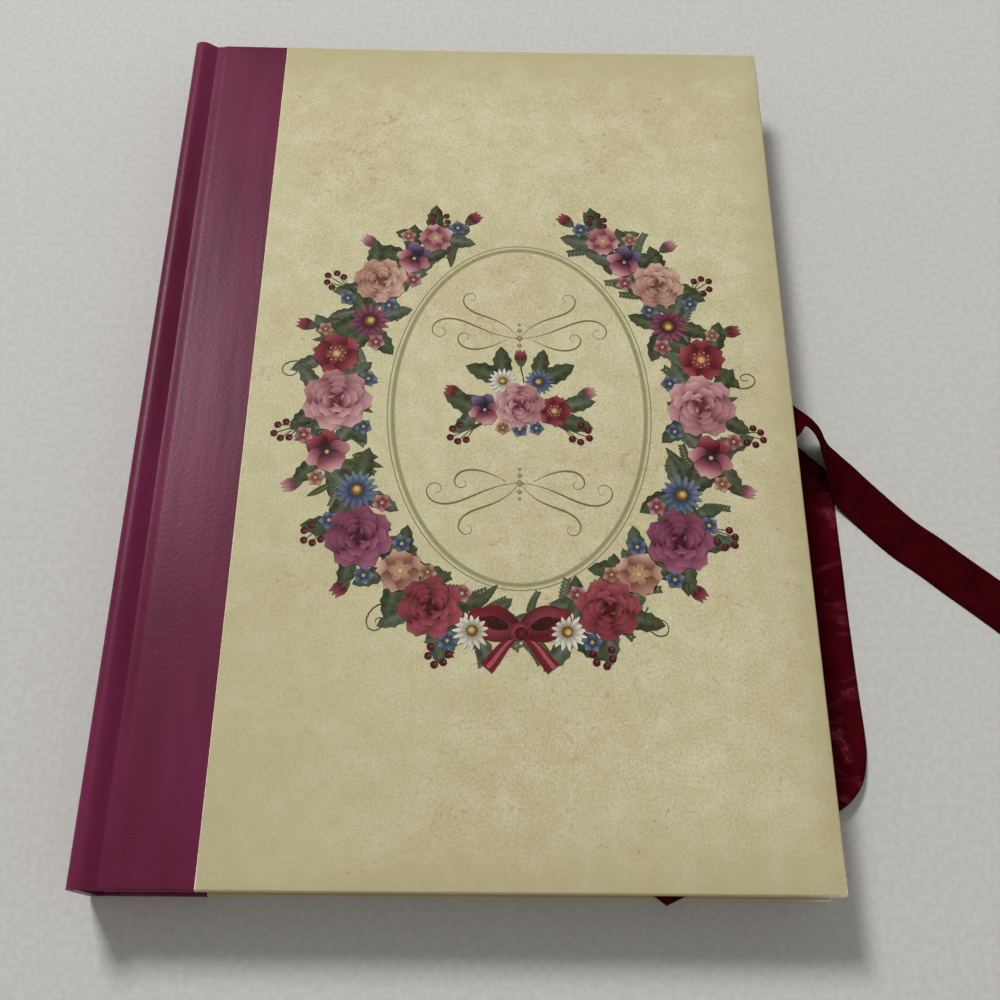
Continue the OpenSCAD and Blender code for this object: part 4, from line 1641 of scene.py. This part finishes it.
lightPlan = {
    "floor": "#c6c5c1",
    "floorDeep": "#bfbdb9",
    "floorHalf": 3.0,
    "floorClear": 0.32,      # beyond this the floor fades into the backdrop
    "floorGone": 0.8,
    "floorDrop": 0.00005,
    "sky": 0.35,
    "backdrop": 0.52,
    "skyColour": (1.0, 0.99, 0.97, 1.0),
}
# place, size and power, and whether a lamp is for shine alone
lampPlan = {
    "window": ((-1.04, 1.9, 2.1), 0.68, 77.0, False),
    "fill": ((0.6, -0.9, 0.9), 1.4, 0.7, False),
    "panel": ((-0.57, 0.63, 1.0), 0.27, 8.5, True),    # shines back from the plum covering
}


def seenDirectly(tree):
    rays = put(tree, "ShaderNodeLightPath").outputs
    shiny = sums(tree, "MAXIMUM", rays["Is Glossy Ray"], rays["Is Transmission Ray"])
    return sums(tree, "MAXIMUM", rays["Is Camera Ray"], shiny)


def makeFloor(plan):
    half = plan["floorHalf"]
    corners = [(-half, -half, 0), (half, -half, 0), (half, half, 0), (-half, half, 0)]
    material, tree, shader = newMaterial("paleFloor")
    weave = cloud(tree, objectPlace(tree), 500.0, 2.0)
    colour = tint(tree, between(tree, weave, 0.3, 0.7), plan["floor"], plan["floorDeep"])
    coat(tree, shader, colour, 0.9, specular=0.2)
    distance = put(tree, "ShaderNodeVectorMath", {0: objectPlace(tree)}, operation="LENGTH").outputs["Value"]
    far = times(tree, between(tree, distance, plan["floorClear"], plan["floorGone"]), seenDirectly(tree))
    sky = {"Color": plan["skyColour"], "Strength": plan["backdrop"]}
    glow = put(tree, "ShaderNodeEmission", sky).outputs[0]
    output = next(n for n in tree.nodes if n.type == "OUTPUT_MATERIAL")
    mixed = put(tree, "ShaderNodeMixShader", {0: far, 1: shader.outputs[0], 2: glow}).outputs[0]
    tree.links.new(mixed, output.inputs["Surface"])
    floor = addPiece("floor", corners, [(0, 1, 2, 3)], material, smooth=False)
    floor.location.z = -plan["floorDrop"]


def makeLamp(name, place, size, power, shine):
    lamp = bpy.data.lights.new(name, "AREA")
    lamp.size = size
    lamp.energy = power
    holder = addObject(name, lamp)
    holder.location = place
    holder.rotation_euler = (-Vector(place)).to_track_quat("-Z", "Y").to_euler()
    holder.visible_glossy = shine
    holder.visible_diffuse = not shine


def makeSky(plan):
    world = bpy.data.worlds.new("softSky")
    world.use_nodes = True
    tree = world.node_tree
    background = tree.nodes["Background"]
    background.inputs["Color"].default_value = plan["skyColour"]
    level = between(tree, seenDirectly(tree), 0.0, 1.0, plan["sky"], plan["backdrop"])
    tree.links.new(level, background.inputs["Strength"])
    scene.world = world


makeFloor(lightPlan)
makeSky(lightPlan)
for name, row in lampPlan.items():
    makeLamp(name, *row)
print("floor and light set")
